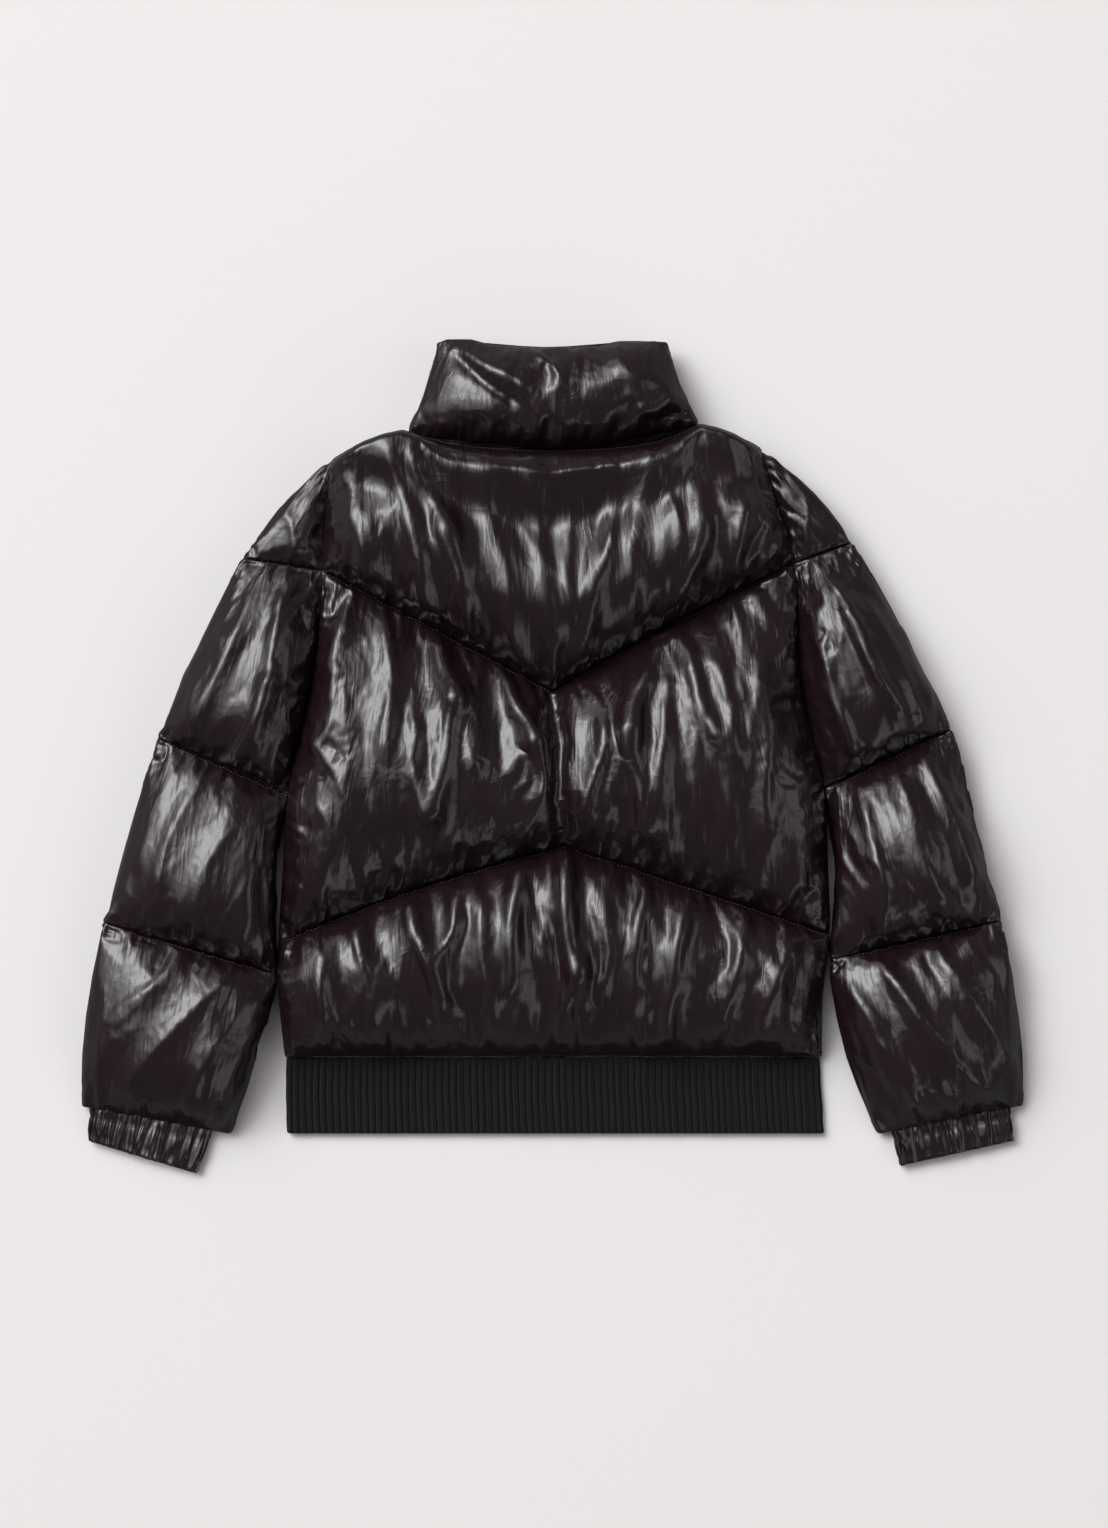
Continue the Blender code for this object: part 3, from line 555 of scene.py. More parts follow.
def panel(name, facing, step, side_round, first_round, last_round, fold_rows, gather, seed):
    """One padded skin over a packed panel: its rim, raised by the padding and its folds."""
    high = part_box(name)[1]
    runs = rim_runs(name, facing)
    seam_level = max(run[:, 2].max() for run in runs) if facing > 0 else 0.0
    loft = BACK_LOFT * (high.z - seam_level) if facing > 0 else max(run[:, 2].max() for run in runs)
    wide = (run_length(runs[0]) + run_length(runs[1])) / 2
    tall = (run_length(runs[2]) + run_length(runs[3])) / 2
    across = even_shares(wide, loft, side_round, side_round, step)
    down = even_shares(tall, loft, first_round * tall, last_round * tall, step)
    points = patch(runs, across, down)
    left, right, top, bottom = edge_distances(points)
    rng = np.random.default_rng(seed)
    seams = ((left, top), (left, bottom), (top, left), (top, right))
    length = top + bottom
    if name == "back_yoke":
        ends = yoke_rise(top, length) * rise(bottom, last_round * length)
    else:
        ends = rise(top, first_round * length) * rise(bottom, last_round * length)
    full = rise(left, side_round) * rise(right, side_round) * ends
    extra = ridges(points, fold_rows) * np.clip(1.6 * full, 0, 1)
    for (along, away), (spacing, length, height) in zip(seams, gather):
        if height:
            extra += gathers(rng, along, away, spacing * MM, length * MM, height * MM)
    extra *= np.clip(np.minimum.reduce([left, right, top, bottom]) / SEAM_FADE, 0, 1)
    if facing > 0:
        points[..., 2] += loft * full + extra
    else:
        points[..., 2] = np.maximum(points[..., 2] * (1 - np.clip(1.5 * full, 0, 1)) - 0.5 * extra, 0)
    pinned = np.zeros(points.shape[:2], bool)
    pinned[[0, -1]] = True
    pinned[:, [0, -1]] = True
    return points, pinned, seams


for order, (name, (first_round, last_round)) in enumerate(ARCHES.items()):
    # Gathers off the top, bottom, left and right seams: spacing, length and height, in mm.
    top_gather = (0, 0, 0) if name == "back_yoke" else (19, 62, 2.4)
    gather = (top_gather, (17, 58, 2.4), (22, 30, 1.8), (22, 30, 1.8))
    points, pinned, seams = panel(
        name, 1, STEP, SIDE_ROUND, first_round, last_round, BACK_FOLDS[name], gather, BACK_SEED + order
    )
    soft_piece(f"{name}_skin", name, points, pinned, False, seams, 9 * MM, "upper")

# ---- Fronts ---------------------------------------------------------------------------
# The same cloth and padding, underneath: each front is quilted in three, lies flat on the
# surface and ends at the zip. Only its rounded outer edge shows from the side.

FRONT_STEP = 7.0 * MM
FRONT_ARCH = 0.4
FRONT_SEED = 31
for side_order, side in enumerate(("left", "right")):
    for order, part in enumerate(("upper", "middle", "lower")):
        name = f"front_{side}_{part}"
        gather = ((30, 40, 1.6), (30, 40, 1.6), (30, 30, 1.5), (30, 30, 1.5))
        seed = FRONT_SEED + 3 * side_order + order
        points, pinned, seams = panel(
            name, -1, FRONT_STEP, SIDE_ROUND, FRONT_ARCH, FRONT_ARCH, (), gather, seed
        )
        soft_piece(f"{name}_skin", name, points, pinned, False, seams, 6 * MM, "lower")

# ---- Sleeves and collar -----------------------------------------------------------------
# Padded tubes laid flat. A sleeve has four, each sewn to the next and the upper two sewn to
# the armhole too. The collar is a tube whose top edge is turned in.

#   from x  from y    to x    to y  width  height
TUBE_FOLDS = {
    "sleeve_left_cap": ((-226, 205, -215, 170, 7, 3),),
    "sleeve_left_upper": (
        (-258, 132, -300, 30, 9, 5),
        (-228, 130, -248, 20, 9, 4),
        (-280, 100, -318, 20, 8, 3.5),
        (-240, 60, -270, -5, 7, 4),
    ),
    "sleeve_left_forearm": (
        (-300, -15, -334, -100, 10.3, 3),
        (-270, -30, -300, -130, 10.3, 2.4),
        (-248, -50, -262, -150, 9.2, 2.1),
        (-325, -10, -350, -90, 8, 2.1),
    ),
    "sleeve_left_lower": (
        (-275, -180, -365, -285, 10.3, 3),
        (-320, -170, -385, -250, 10.3, 2.1),
        (-262, -210, -310, -295, 9.2, 2.4),
        (-255, -230, -280, -300, 8, 1.8),
    ),
    "sleeve_right_cap": ((216, 210, 222, 176, 7, 3),),
    "sleeve_right_upper": (
        (240, 140, 292, 40, 9, 5),
        (222, 120, 250, 10, 9, 4),
        (270, 120, 315, 35, 8, 3.5),
    ),
    "sleeve_right_forearm": (
        (290, -15, 326, -120, 9, 5),
        (262, -30, 280, -130, 9, 4),
        (318, 0, 352, -100, 8, 3.5),
    ),
    "sleeve_right_lower": (
        (278, -180, 363, -280, 9, 5),
        (330, -165, 385, -255, 9, 3.5),
        (258, -205, 310, -290, 8, 4),
    ),
    "collar": (
        (-80, 336, -36, 302, 7, -4),
        (-72, 344, -28, 312, 9, 3.5),
        (-15, 345, 4, 324, 6.5, 3.5),
        (86, 286, 112, 291, 4, -4),
        (78, 292, 100, 301, 6, 3.5),
        (92, 276, 118, 284, 5, 3),
        (60, 330, 95, 310, 11, 2),
    ),
}


#   tube             left      right: how far in from each side the padding rounds off
TUBE_ROUNDS = {
    "collar": (92 * MM, 50 * MM),
    "sleeve_left": (112 * MM, 40 * MM),
    "sleeve_right": (66 * MM, 56 * MM),
}
SLEEVE_ROUND = 105 * MM
SEAM_ROUND = 60 * MM
COLLAR_ROUNDS = (42 * MM, 33 * MM)
COLLAR_SEED = 71
SLEEVE_SEED = 51
TUBE_LOFT = 0.92
TUBE_RIM = 7.2 * MM
SIDE_BULGE = 1.5 * MM
NECK_RIM = 21.0 * MM
ZIP_X = 0.5 * MM
ZIP_NEAR = 10.5 * MM
ZIP_FAR = 17.0 * MM
ZIP_CEILING = 22.5 * MM


def front_neck():
    """Where the collar's front half meets the two fronts, from one shoulder to the other."""
    left, right = (rim_runs(f"front_{side}_upper", -1)[0] for side in ("left", "right"))
    start, end = rim_runs("collar", 1)[1][[0, -1], :2]
    first = ((left[:, :2] - start) ** 2).sum(axis=1).argmin()
    last = ((right[:, :2] - end) ** 2).sum(axis=1).argmin()
    run = np.vstack([left[first:], right[: last + 1]])
    run[:, 2] = NECK_RIM
    return run


def zip_channel(under, pinned):
    """Presses the collar's underside up over the zip, which is sewn into it.

    The share pressed up is a smooth step, s * s * (3 - 2 * s), from the far distance to the near.
    """
    away = np.abs(under[..., 0] - ZIP_X)
    share = np.clip((ZIP_FAR - away) / (ZIP_FAR - ZIP_NEAR), 0, 1)
    level = np.maximum(under[..., 2], ZIP_CEILING)
    under[..., 2] += share * share * (3 - 2 * share) * (level - under[..., 2])
    pinned |= share > 0


def tube(name, first_round, last_round, sewn, seed, gather):
    """A flattened padded tube as one closed ring of points for each row down its length.

    The ring runs over the top from left to right and back underneath from right to left. sewn
    is the side, if any, that is held in a seam.
    """
    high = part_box(name)[1]
    upper_runs = rim_runs(name, 1)
    for run in upper_runs[:2]:
        run[:, 2] = run[:, 2].max()
    for run in upper_runs[2:]:
        run[:, 2] = np.maximum(run[:, 2], np.linspace(run[0, 2], run[-1, 2], len(run)))
    lower_runs = [run - (0, 0, TUBE_RIM) for run in upper_runs]
    if name == "collar":
        lower_runs[1] = front_neck()
    loft = TUBE_LOFT * (high.z - max(run[:, 2].max() for run in upper_runs))
    wide = max(run_length(upper_runs[0]), run_length(upper_runs[1]))
    tall = (run_length(upper_runs[2]) + run_length(upper_runs[3])) / 2
    left_round, right_round = TUBE_ROUNDS[name if name == "collar" else name.rsplit("_", 1)[0]]
    across = even_shares(wide, loft, left_round, right_round, STEP)
    down = even_shares(tall, loft, first_round, last_round, STEP)
    over, under = patch(upper_runs, across, down), patch(lower_runs, across, down)
    left, right, top, bottom = edge_distances(over)
    full = rise(left, left_round) * rise(right, right_round)
    full = full * rise(top, first_round) * rise(bottom, last_round)
    rng = np.random.default_rng(seed)
    extra = ridges(over, TUBE_FOLDS[name]) * np.clip(1.6 * full, 0, 1)
    for (along, away), (spacing, length, height) in zip(((left, top), (left, bottom)), gather):
        extra += gathers(rng, along, away, spacing * MM, length * MM, height * MM)
    extra *= np.clip(np.minimum(top, bottom) / SEAM_FADE, 0, 1)
    over[..., 2] += loft * full + extra * np.clip(2 * full, 0, 1)
    under[..., 2] = np.maximum(under[..., 2] * (1 - np.clip(1.5 * full, 0, 1)), 0)
    held = np.zeros(under.shape[:2], bool)
    if name == "collar":
        zip_channel(under, held)
    middle = (over + under) / 2
    outwards = np.array([SIDE_BULGE, 0.0, 0.0])
    sides = middle[:, -1:] + outwards, middle[:, :1] - outwards
    ring = np.concatenate([over, sides[0], under[:, ::-1], sides[1]], axis=1)
    columns = over.shape[1]
    ring_seams = []
    for along, away in ((left, top), (left, bottom)):
        ring_seams.append(tuple(
            np.concatenate([field, field[:, -1:], field[:, ::-1], field[:, :1]], axis=1)
            for field in (along, away)
        ))
    pinned = np.zeros(ring.shape[:2], bool)
    pinned[[0, -1]] = True
    pinned[:, columns + 1 : -1] |= held[:, ::-1]
    if sewn == "right":
        pinned[:, columns - 1 : columns + 2] = True
    elif sewn == "left":
        pinned[:, [0, -2, -1]] = True
    return ring, pinned, ring_seams


seed = SLEEVE_SEED
for side in ("left", "right"):
    inner = "right" if side == "left" else "left"
    for part in ("cap", "upper", "forearm", "lower"):
        seed += 1
        name = f"sleeve_{side}_{part}"
        first_round = SIDE_ROUND if part == "cap" else SLEEVE_ROUND
        tall = 1.2 if name in ("sleeve_left_forearm", "sleeve_left_lower") else 1.8
        gather = ((19, 46, tall), (15, 42, 1.15 * tall))
        sewn = inner if part in ("cap", "upper") else ""
        ring, pinned, seams = tube(name, first_round, SEAM_ROUND, sewn, seed, gather)
        soft_piece(f"{name}_skin", name, ring, pinned, True, seams, 8 * MM, "tube")

ring, pinned, seams = tube("collar", *COLLAR_ROUNDS, "", COLLAR_SEED, ((30, 26, 1.2), (19, 30, 1.6)))
soft_piece("collar_skin", "collar", ring, pinned, True, seams, 7 * MM, "tube")

# ---- Settling and finishing the padded pieces -------------------------------------------
# All the skins are Blender cloth, held along their seams and blown up from inside for 20
# frames, with a little more cloth than their shape needs, so that it buckles off the seams.

SETTLE_FRAMES = 20
SPARE_WIDTH = 1.065
CLOTH = {
    "quality": 6, "mass": 0.12, "tension_stiffness": 25, "compression_stiffness": 25,
    "shear_stiffness": 8, "bending_stiffness": 0.3, "tension_damping": 8,
    "compression_damping": 8, "shear_damping": 8, "bending_damping": 0.8, "air_damping": 2.0,
    "shrink_min": -0.012, "use_pressure": True, "uniform_pressure_force": 1.3,
    "vertex_group_mass": "seams",
}


def quads_of(index):
    """Quads between the neighbours in a table of vertex numbers, by rows and columns."""
    corners = index[:-1, :-1], index[1:, :-1], index[1:, 1:], index[:-1, 1:]
    return np.stack(corners, axis=-1).reshape(-1, 4)


def grid_faces(rows, columns, wrapped):
    """Quads of a grid whose rows run down and columns run right, seen from outside."""
    index = np.arange(rows * columns).reshape(rows, columns)
    return quads_of(np.concatenate([index, index[:, :1]], axis=1) if wrapped else index)


def link_mesh(name, points, faces):
    """A new object in the scene, from its points and faces."""
    mesh = bpy.data.meshes.new(name)
    mesh.from_pydata(points.reshape(-1, 3).tolist(), [], faces)
    made = bpy.data.objects.new(name, mesh)
    bpy.context.scene.collection.objects.link(made)
    return made


def start_cloth(piece):
    """The skin as Blender cloth, pinned along its seams and under pressure."""
    rows, columns = piece["grid"].shape[:2]
    faces = grid_faces(rows, columns, piece["wrapped"])
    if piece["finish"] == "lower":
        faces = faces[:, ::-1]
    made = link_mesh(f"{piece['name']}_cloth", piece["grid"], faces.tolist())
    group = made.vertex_groups.new(name="seams")
    group.add(np.flatnonzero(piece["pinned"].ravel()).tolist(), 1.0, "REPLACE")
    made.shape_key_add(name="laid")
    cut = made.shape_key_add(name="cut")
    wider = piece["grid"].reshape(-1, 3) * (SPARE_WIDTH, 1.0, 1.0)
    cut.data.foreach_set("co", wider.astype(np.float32).ravel())
    cut.value = 0.0
    cloth = made.modifiers.new("cloth", "CLOTH")
    settings = cloth.settings
    for label, value in CLOTH.items():
        setattr(settings, label, value)
    settings.effector_weights.gravity = 0
    settings.rest_shape_key = cut
    cloth.collision_settings.use_collision = False
    cloth.point_cache.frame_end = SETTLE_FRAMES
    return made


def settle(pieces):
    """Steps all the cloth together, and takes each skin's last shape, within its cap.

    Seen from above, a point also moves no further than a third of its way to the seam, so
    that a skin never swells over its neighbour's.
    """
    cloths = [start_cloth(piece) for piece in pieces]
    for step in range(1, SETTLE_FRAMES + 1):
        bpy.context.scene.frame_set(step)
    depsgraph = bpy.context.evaluated_depsgraph_get()
    for piece, made in zip(pieces, cloths):
        grid = piece["grid"]
        moved = np.empty(grid.size, np.float32)
        made.evaluated_get(depsgraph).data.vertices.foreach_get("co", moved)
        shift = moved.reshape(grid.shape).astype(float) - grid
        shift *= piece["cap"] / np.maximum(np.linalg.norm(shift, axis=-1, keepdims=True), piece["cap"])
        nearest = np.minimum.reduce([away for along, away in piece["seams"]])[..., None]
        sideways = np.linalg.norm(shift[..., :2], axis=-1, keepdims=True)
        room = nearest / 3 + 0.1 * MM
        shift[..., :2] *= room / np.maximum(sideways, room)
        piece["grid"] = grid + shift
    for made in cloths:
        mesh = made.data
        bpy.data.objects.remove(made)
        bpy.data.meshes.remove(mesh)
    bpy.context.scene.frame_set(1)


def doubled(field, axis, wrapped):
    """A field with a new value between each two, by the four-point cubic rule."""
    field = np.moveaxis(field, axis, 0)
    if wrapped:
        ends = np.concatenate([field[-1:], field, field[:2]])
    else:
        ends = np.concatenate([2 * field[:1] - field[1:2], field, 2 * field[-1:] - field[-2:-1]])
    between = (9 * (ends[1:-2] + ends[2:-1]) - ends[:-3] - ends[3:]) / 16
    count = len(field) + len(between)
    result = np.empty((count, *field.shape[1:]))
    result[0::2] = field
    result[1::2] = between
    return np.moveaxis(result, 0, axis)


def outward(grid, wrapped):
    """Unit normals of a grid, from the steps down and across it."""
    down = np.gradient(grid, axis=0)
    if wrapped:
        across = np.roll(grid, -1, axis=1) - np.roll(grid, 1, axis=1)
    else:
        across = np.gradient(grid, axis=1)
    normal = np.cross(down, across)
    return normal / np.maximum(np.linalg.norm(normal, axis=-1, keepdims=True), 1e-12)


def cloth_uv(made, grid, faces, wrapped):
    """A UV map in metres: across from the first column, and down from the first row.

    Where the last column of a wrapped grid meets the first, U runs on past its end.
    """
    across = np.linalg.norm(np.diff(grid, axis=1), axis=-1).mean(axis=0)
    down = np.linalg.norm(np.diff(grid, axis=0), axis=-1).mean(axis=1)
    rows, columns = grid.shape[:2]
    u = running(across)
    flat = np.stack(np.meshgrid(u, running(down)), axis=-1).reshape(-1, 2)
    mesh = made.data
    layer = mesh.uv_layers.new(name="cloth")
    corner = np.empty(len(mesh.loops), np.int32)
    mesh.loops.foreach_get("vertex_index", corner)
    uv = flat[np.minimum(corner, len(flat) - 1)]
    if wrapped:
        column = corner % columns
        closing = np.zeros(len(corner), bool)
        quads = np.array(column[: 4 * len(faces)]).reshape(-1, 4)
        at_end = (quads.max(axis=1) == columns - 1) & (quads.min(axis=1) == 0)
        closing[: 4 * len(faces)] = np.repeat(at_end, 4) & (column[: 4 * len(faces)] == 0)
        uv[closing, 0] = u[-1] + across[-1]
    layer.uv.foreach_set("vector", uv.astype(np.float32).ravel())


FOLD_ROWS = {**BACK_FOLDS, **TUBE_FOLDS}
CREASE_LEAN = {"sleeve_left": 0.42, "sleeve_right": -0.42}
# There is one fine crease for each square of this width, or of the second on calmer pieces.
CREASES_APART = 27 * MM
CALM_APART = 42 * MM
CREASE_FADE = 14 * MM
CREASE_SPREAD = 0.22
# The puckers' spacing, length and height.
PUCKER = (7.0 * MM, 17 * MM, 1.15 * MM)
SOFT_CEILING = 2 * MM
CEILING_ROOM = 9 * MM
FINISH_SEED = 200
RUN_SAMPLES = 80
stitched = []


def creased(piece, grid, seams, rng):
    """The skin with fine creases on the side that faces up, and puckers along its seams."""
    node, wrapped = piece["node"], piece["wrapped"]
    fade = np.clip(np.minimum.reduce([away for along, away in seams]) / CREASE_FADE, 0, 1)
    lean = CREASE_LEAN.get(node.rsplit("_", 1)[0], 0.0)
    size = np.linalg.norm(np.diff(grid, axis=1), axis=-1).mean()
    size *= np.linalg.norm(np.diff(grid, axis=0), axis=-1).mean()
    apart = CALM_APART if node.startswith(("sleeve_left", "collar")) else CREASES_APART
    count = int(size * grid.shape[0] * grid.shape[1] / apart ** 2)
    rows = scattered(rng, grid, count, lean, CREASE_SPREAD)
    # Settling softens the long folds, so half of each is added again.
    creases = 0.85 * ridges(grid, rows) + 0.5 * ridges(grid, FOLD_ROWS.get(node, ()))
    creases *= fade
    normal = outward(grid, wrapped)
    grid = grid + (creases * (normal[..., 2] > 0))[..., None] * normal
    pucker = np.zeros(grid.shape[:2])
    # The yoke's top lies smooth under the collar.
    for along, away in seams[1:] if node == "back_yoke" else seams:
        pucker += gathers(rng, along, away, *PUCKER)
    return grid + pucker[..., None] * outward(grid, wrapped)


def closed_skin(piece, grid, quads):
    """The mesh of a skin, closed: a tube at both ends, a panel by a wall and a flat lid.

    The wall runs round the panel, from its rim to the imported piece's other rim.
    """
    rows, columns = grid.shape[:2]
    index = np.arange(rows * columns).reshape(rows, columns)
    if piece["wrapped"]:
        ends = [index[0].tolist(), index[-1, ::-1].tolist()]
        return link_mesh(piece["name"], grid, quads.tolist() + ends)
    around = np.concatenate([index[:-1, 0], index[-1, :-1], index[:0:-1, -1], index[0, :0:-1]])
    facing = 1 if piece["finish"] == "upper" else -1
    level = np.concatenate([
        at_shares(run, np.linspace(0, 1, RUN_SAMPLES)) for run in rim_runs(piece["node"], -facing)
    ])
    edge = grid.reshape(-1, 3)[around].copy()
    nearest = ((edge[:, None, :2] - level[None, :, :2]) ** 2).sum(axis=-1).argmin(axis=1)
    edge[:, 2] = level[nearest, 2]
    below = np.arange(len(around)) + rows * columns
    onward = np.roll(np.arange(len(around)), -1)
    wall = np.stack([around, below, below[onward], around[onward]], axis=-1)[:, ::facing]
    faces = quads.tolist() + wall.tolist() + [below[::-facing].tolist()]
    return link_mesh(piece["name"], np.vstack([grid.reshape(-1, 3), edge]), faces)


def finish_piece(piece, order):
    """The final mesh of a settled skin: twice as fine, creased, kept in bounds and closed."""
    grid, wrapped, finish = piece["grid"], piece["wrapped"], piece["finish"]
    grid = doubled(doubled(grid, 0, False), 1, wrapped)
    seams = [
        [doubled(doubled(field, 0, False), 1, wrapped) for field in pair] for pair in piece["seams"]
    ]
    if finish != "lower":
        grid = creased(piece, grid, seams, np.random.default_rng(FINISH_SEED + order))
    # Above the ceiling the cloth levels off, by room * tanh(over / room).
    over = np.maximum(grid[..., 2] - cad_box[1][2] - SOFT_CEILING, 0)
    grid[..., 2] -= over - CEILING_ROOM * np.tanh(over / CEILING_ROOM)
    if finish != "upper":
        grid[..., 2] = np.maximum(grid[..., 2], 0.0)
    stitched.append((piece["name"], grid, wrapped))
    quads = grid_faces(*grid.shape[:2], wrapped)
    if finish == "lower":
        quads = quads[:, ::-1]
    made = closed_skin(piece, grid, quads)
    made.data.shade_smooth()
    made.data.materials.append(SHELL)
    cloth_uv(made, grid, quads, wrapped)
    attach(made, "jacket")
    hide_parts(piece["node"])


settle(soft)
for order, piece in enumerate(soft):
    finish_piece(piece, order)

# ---- Hem band ---------------------------------------------------------------------------
# A rib-knit band, doubled, sewn to the back and both fronts. It lies in two layers that
# meet in a fold at each side, and its two ends stop at the zip underneath.

RIB_PITCH = 5.9 * MM
RIB_DEPTH = 2.3 * MM
RIB_SAMPLES = 10
BAND_ROWS = 12
BAND_WALL = 3.3 * MM
BAND_END_X = 10.6 * MM
BAND_FOLD = 4.1 * MM
STITCH_WIDE = 1.97 * MM
STITCH_TALL = 1.5 * MM
BAND_MIDDLE = 4.25 * MM
BAND_SWAY = 0.5 * MM
BAND_RIPPLE = 0.25 * MM
BAND_LEVELS = 7
KNIT_COLOUR = (0.0046, 0.0043, 0.0050)
# Painted shade in the grooves between the ribs.
KNIT_GROOVE_SHADE = (0.0006, 0.0006, 0.0007)


def knit_group():
    """Rows of small V-shaped stitches: a height, 0..1, from a UV map in metres.

    Along U, each stitch leans to one side of its rib's middle: v + 0.5 |u| repeats. The painted
    shade mask is 1 in the grooves between the ribs, |2 frac(u / pitch) - 1| ** 4.
    """
    group, given, result = node_group("knit stitches", (
        ("UV", "NodeSocketVector", "INPUT", None),
        ("Height", "NodeSocketFloat", "OUTPUT", None),
        ("Groove shade", "NodeSocketFloat", "OUTPUT", None),
    ))
    parts = group.nodes.new("ShaderNodeSeparateXYZ")
    group.links.new(given.outputs["UV"], parts.inputs["Vector"])
    across = math_node(group, "MULTIPLY", parts.outputs["X"], 1 / STITCH_WIDE)
    column = math_node(group, "FRACT", across)
    lean = math_node(group, "ABSOLUTE", math_node(group, "SUBTRACT", column, 0.5))
    tilt = math_node(group, "MULTIPLY", lean, 1.3)
    down = math_node(group, "MULTIPLY_ADD", parts.outputs["Y"], 1 / STITCH_TALL, tilt)
    turn = math_node(group, "SINE", math_node(group, "MULTIPLY", down, 2 * np.pi))
    thread = math_node(group, "MULTIPLY_ADD", turn, 0.5, 0.5)
    valley = math_node(group, "POWER", math_node(group, "MULTIPLY", lean, 2.0), 3.0)
    group.links.new(math_node(group, "SUBTRACT", thread, valley), result.inputs["Height"])
    part = math_node(group, "FRACT", math_node(group, "DIVIDE", parts.outputs["X"], RIB_PITCH))
    beside = math_node(group, "ABSOLUTE", math_node(group, "MULTIPLY_ADD", part, 2.0, -1.0))
    group.links.new(math_node(group, "POWER", beside, 4.0), result.inputs["Groove shade"])
    return group


def knit_material():
    """Matt charcoal wool-like rib with a faint fuzz."""
    made = plain_material("charcoal rib knit", KNIT_COLOUR, 0.9)
    tree = made.node_tree
    shader = tree.nodes["Principled BSDF"]
    # The grooves between the ribs are painted darker: painted shade in the recesses.
    groove = cloth_group(tree, knit_group(), 0.25 * MM, 0.8).outputs["Groove shade"]
    tree.links.new(mix_node(tree, groove, KNIT_COLOUR, KNIT_GROOVE_SHADE), shader.inputs["Base Color"])
    shader.inputs["Sheen Weight"].default_value = 0.06
    shader.inputs["Sheen Roughness"].default_value = 0.5
    shader.inputs["Specular IOR Level"].default_value = 0.25
    return made


def stadium(lefts, rights, middle, radius, shares):
    """Places and outward normals of a flat loop with round ends, open at the bottom's middle.

    shares run from 0, at the bottom's middle, to the left, over the top and back: straight, half
    a turn, straight, half a turn, straight. lefts and rights are the loop's ends for each row,
    and the result is rows by shares, with the loop's mean length.
    """
    lefts, rights = lefts[:, None] + radius, rights[:, None] - radius
    mean = (rights - lefts).mean()
    bend = np.pi * radius
    gap = BAND_END_X
    total = 2 * mean - 2 * gap + 2 * bend
    s = shares[None, :] * total
    low = mean / 2 - gap
    # Where the left turn, the straight over the top, the right turn and the last straight start.
    left_at, top_at, right_at, last_at = low, low + bend, low + bend + mean, low + 2 * bend + mean
    first = np.clip(s / left_at, 0, 1)
    left_turn = np.clip((s - left_at) / bend, 0, 1) * np.pi
    over = np.clip((s - top_at) / mean, 0, 1)
    right_turn = np.clip((s - right_at) / bend, 0, 1) * np.pi
    last = np.clip((s - last_at) / low, 0, 1)
    x = np.where(s < left_at, -gap + first * (lefts + gap), 0.0)
    x = np.where((s >= left_at) & (s < top_at), lefts - radius * np.sin(left_turn), x)
    x = np.where((s >= top_at) & (s < right_at), lefts + over * (rights - lefts), x)
    x = np.where((s >= right_at) & (s < last_at), rights + radius * np.sin(right_turn), x)
    x = np.where(s >= last_at, rights + last * (gap - rights), x)
    angle = np.where(s < right_at, left_turn, np.pi - right_turn)
    z = middle - radius * np.cos(angle)
    side = np.where(s < right_at, -np.sin(left_turn), np.sin(right_turn))
    normal = np.stack([side, np.zeros_like(side), -np.cos(angle)], axis=-1)
    return x, z, normal, total


low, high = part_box("hem_band")
band_points = node_points("hem_band")
levels = np.linspace(high.y, low.y, BAND_LEVELS)
near = np.abs(band_points[None, :, 1] - levels[:, None]) < 9 * MM
band_left = np.where(near, band_points[None, :, 0], np.inf).min(axis=1)
band_right = np.where(near, band_points[None, :, 0], -np.inf).max(axis=1)
ribs = round((2 * (high.x - low.x) - 2 * BAND_END_X) / RIB_PITCH)
shares = np.linspace(0, 1, ribs * RIB_SAMPLES + 1)
part = shares * ribs % 1.0
groove = np.abs(2 * part - 1) ** 3
rows = np.linspace(0, 1, BAND_ROWS)
# The wall's profile: down its outer face, round its lower fold and up its inner face.
turns = np.linspace(0, np.pi, 7)[1:-1]
half_wall = BAND_WALL / 2
outer_y = high.y + (low.y + half_wall - high.y) * rows
fold_y = low.y + half_wall * (1 - np.sin(turns))
profile_y = np.concatenate([outer_y, fold_y, [low.y + half_wall, high.y]])
fold_in = half_wall * (1 - np.cos(turns))
profile_in = np.concatenate([np.zeros(BAND_ROWS), fold_in, [BAND_WALL, BAND_WALL]])
profile_rib = np.concatenate([np.full(BAND_ROWS, 1.0), np.cos(turns / 2) ** 2, [0.0, 0.0]])
# The ribs are shallower where the band is sewn to the body.
profile_rib[0] = 0.25
order = np.argsort(levels)
x, z, normal, band_length = stadium(
    np.interp(profile_y, levels[order], band_left[order]),
    np.interp(profile_y, levels[order], band_right[order]),
    BAND_MIDDLE, BAND_FOLD, shares,
)
down_share = np.clip((high.y - profile_y) / (high.y - low.y), 0, 1)
sway = BAND_SWAY * np.sin(shares * 61.0)[None] * np.sin(down_share * 3.0)[:, None]
depth = profile_in[:, None] + RIB_DEPTH * groove[None] * profile_rib[:, None]
depth = depth + BAND_RIPPLE * np.sin(shares * 143.0)[None]
grid = np.stack(np.broadcast_arrays(x + sway, profile_y[:, None], z), axis=-1)
grid -= depth[..., None] * normal
grid[..., 2] = np.maximum(grid[..., 2], 0.0)
index = np.arange(grid.shape[0] * grid.shape[1]).reshape(grid.shape[:2])
around = np.concatenate([index, index[:1]])
quads = quads_of(around)


def recalculated(made):
    """Turns a closed mesh's faces outwards."""
    shape = bmesh.new()
    shape.from_mesh(made.data)
    bmesh.ops.recalc_face_normals(shape, faces=shape.faces)
    if shape.calc_volume(signed=True) < 0:
        bmesh.ops.reverse_faces(shape, faces=shape.faces)
    shape.to_mesh(made.data)
    shape.free()


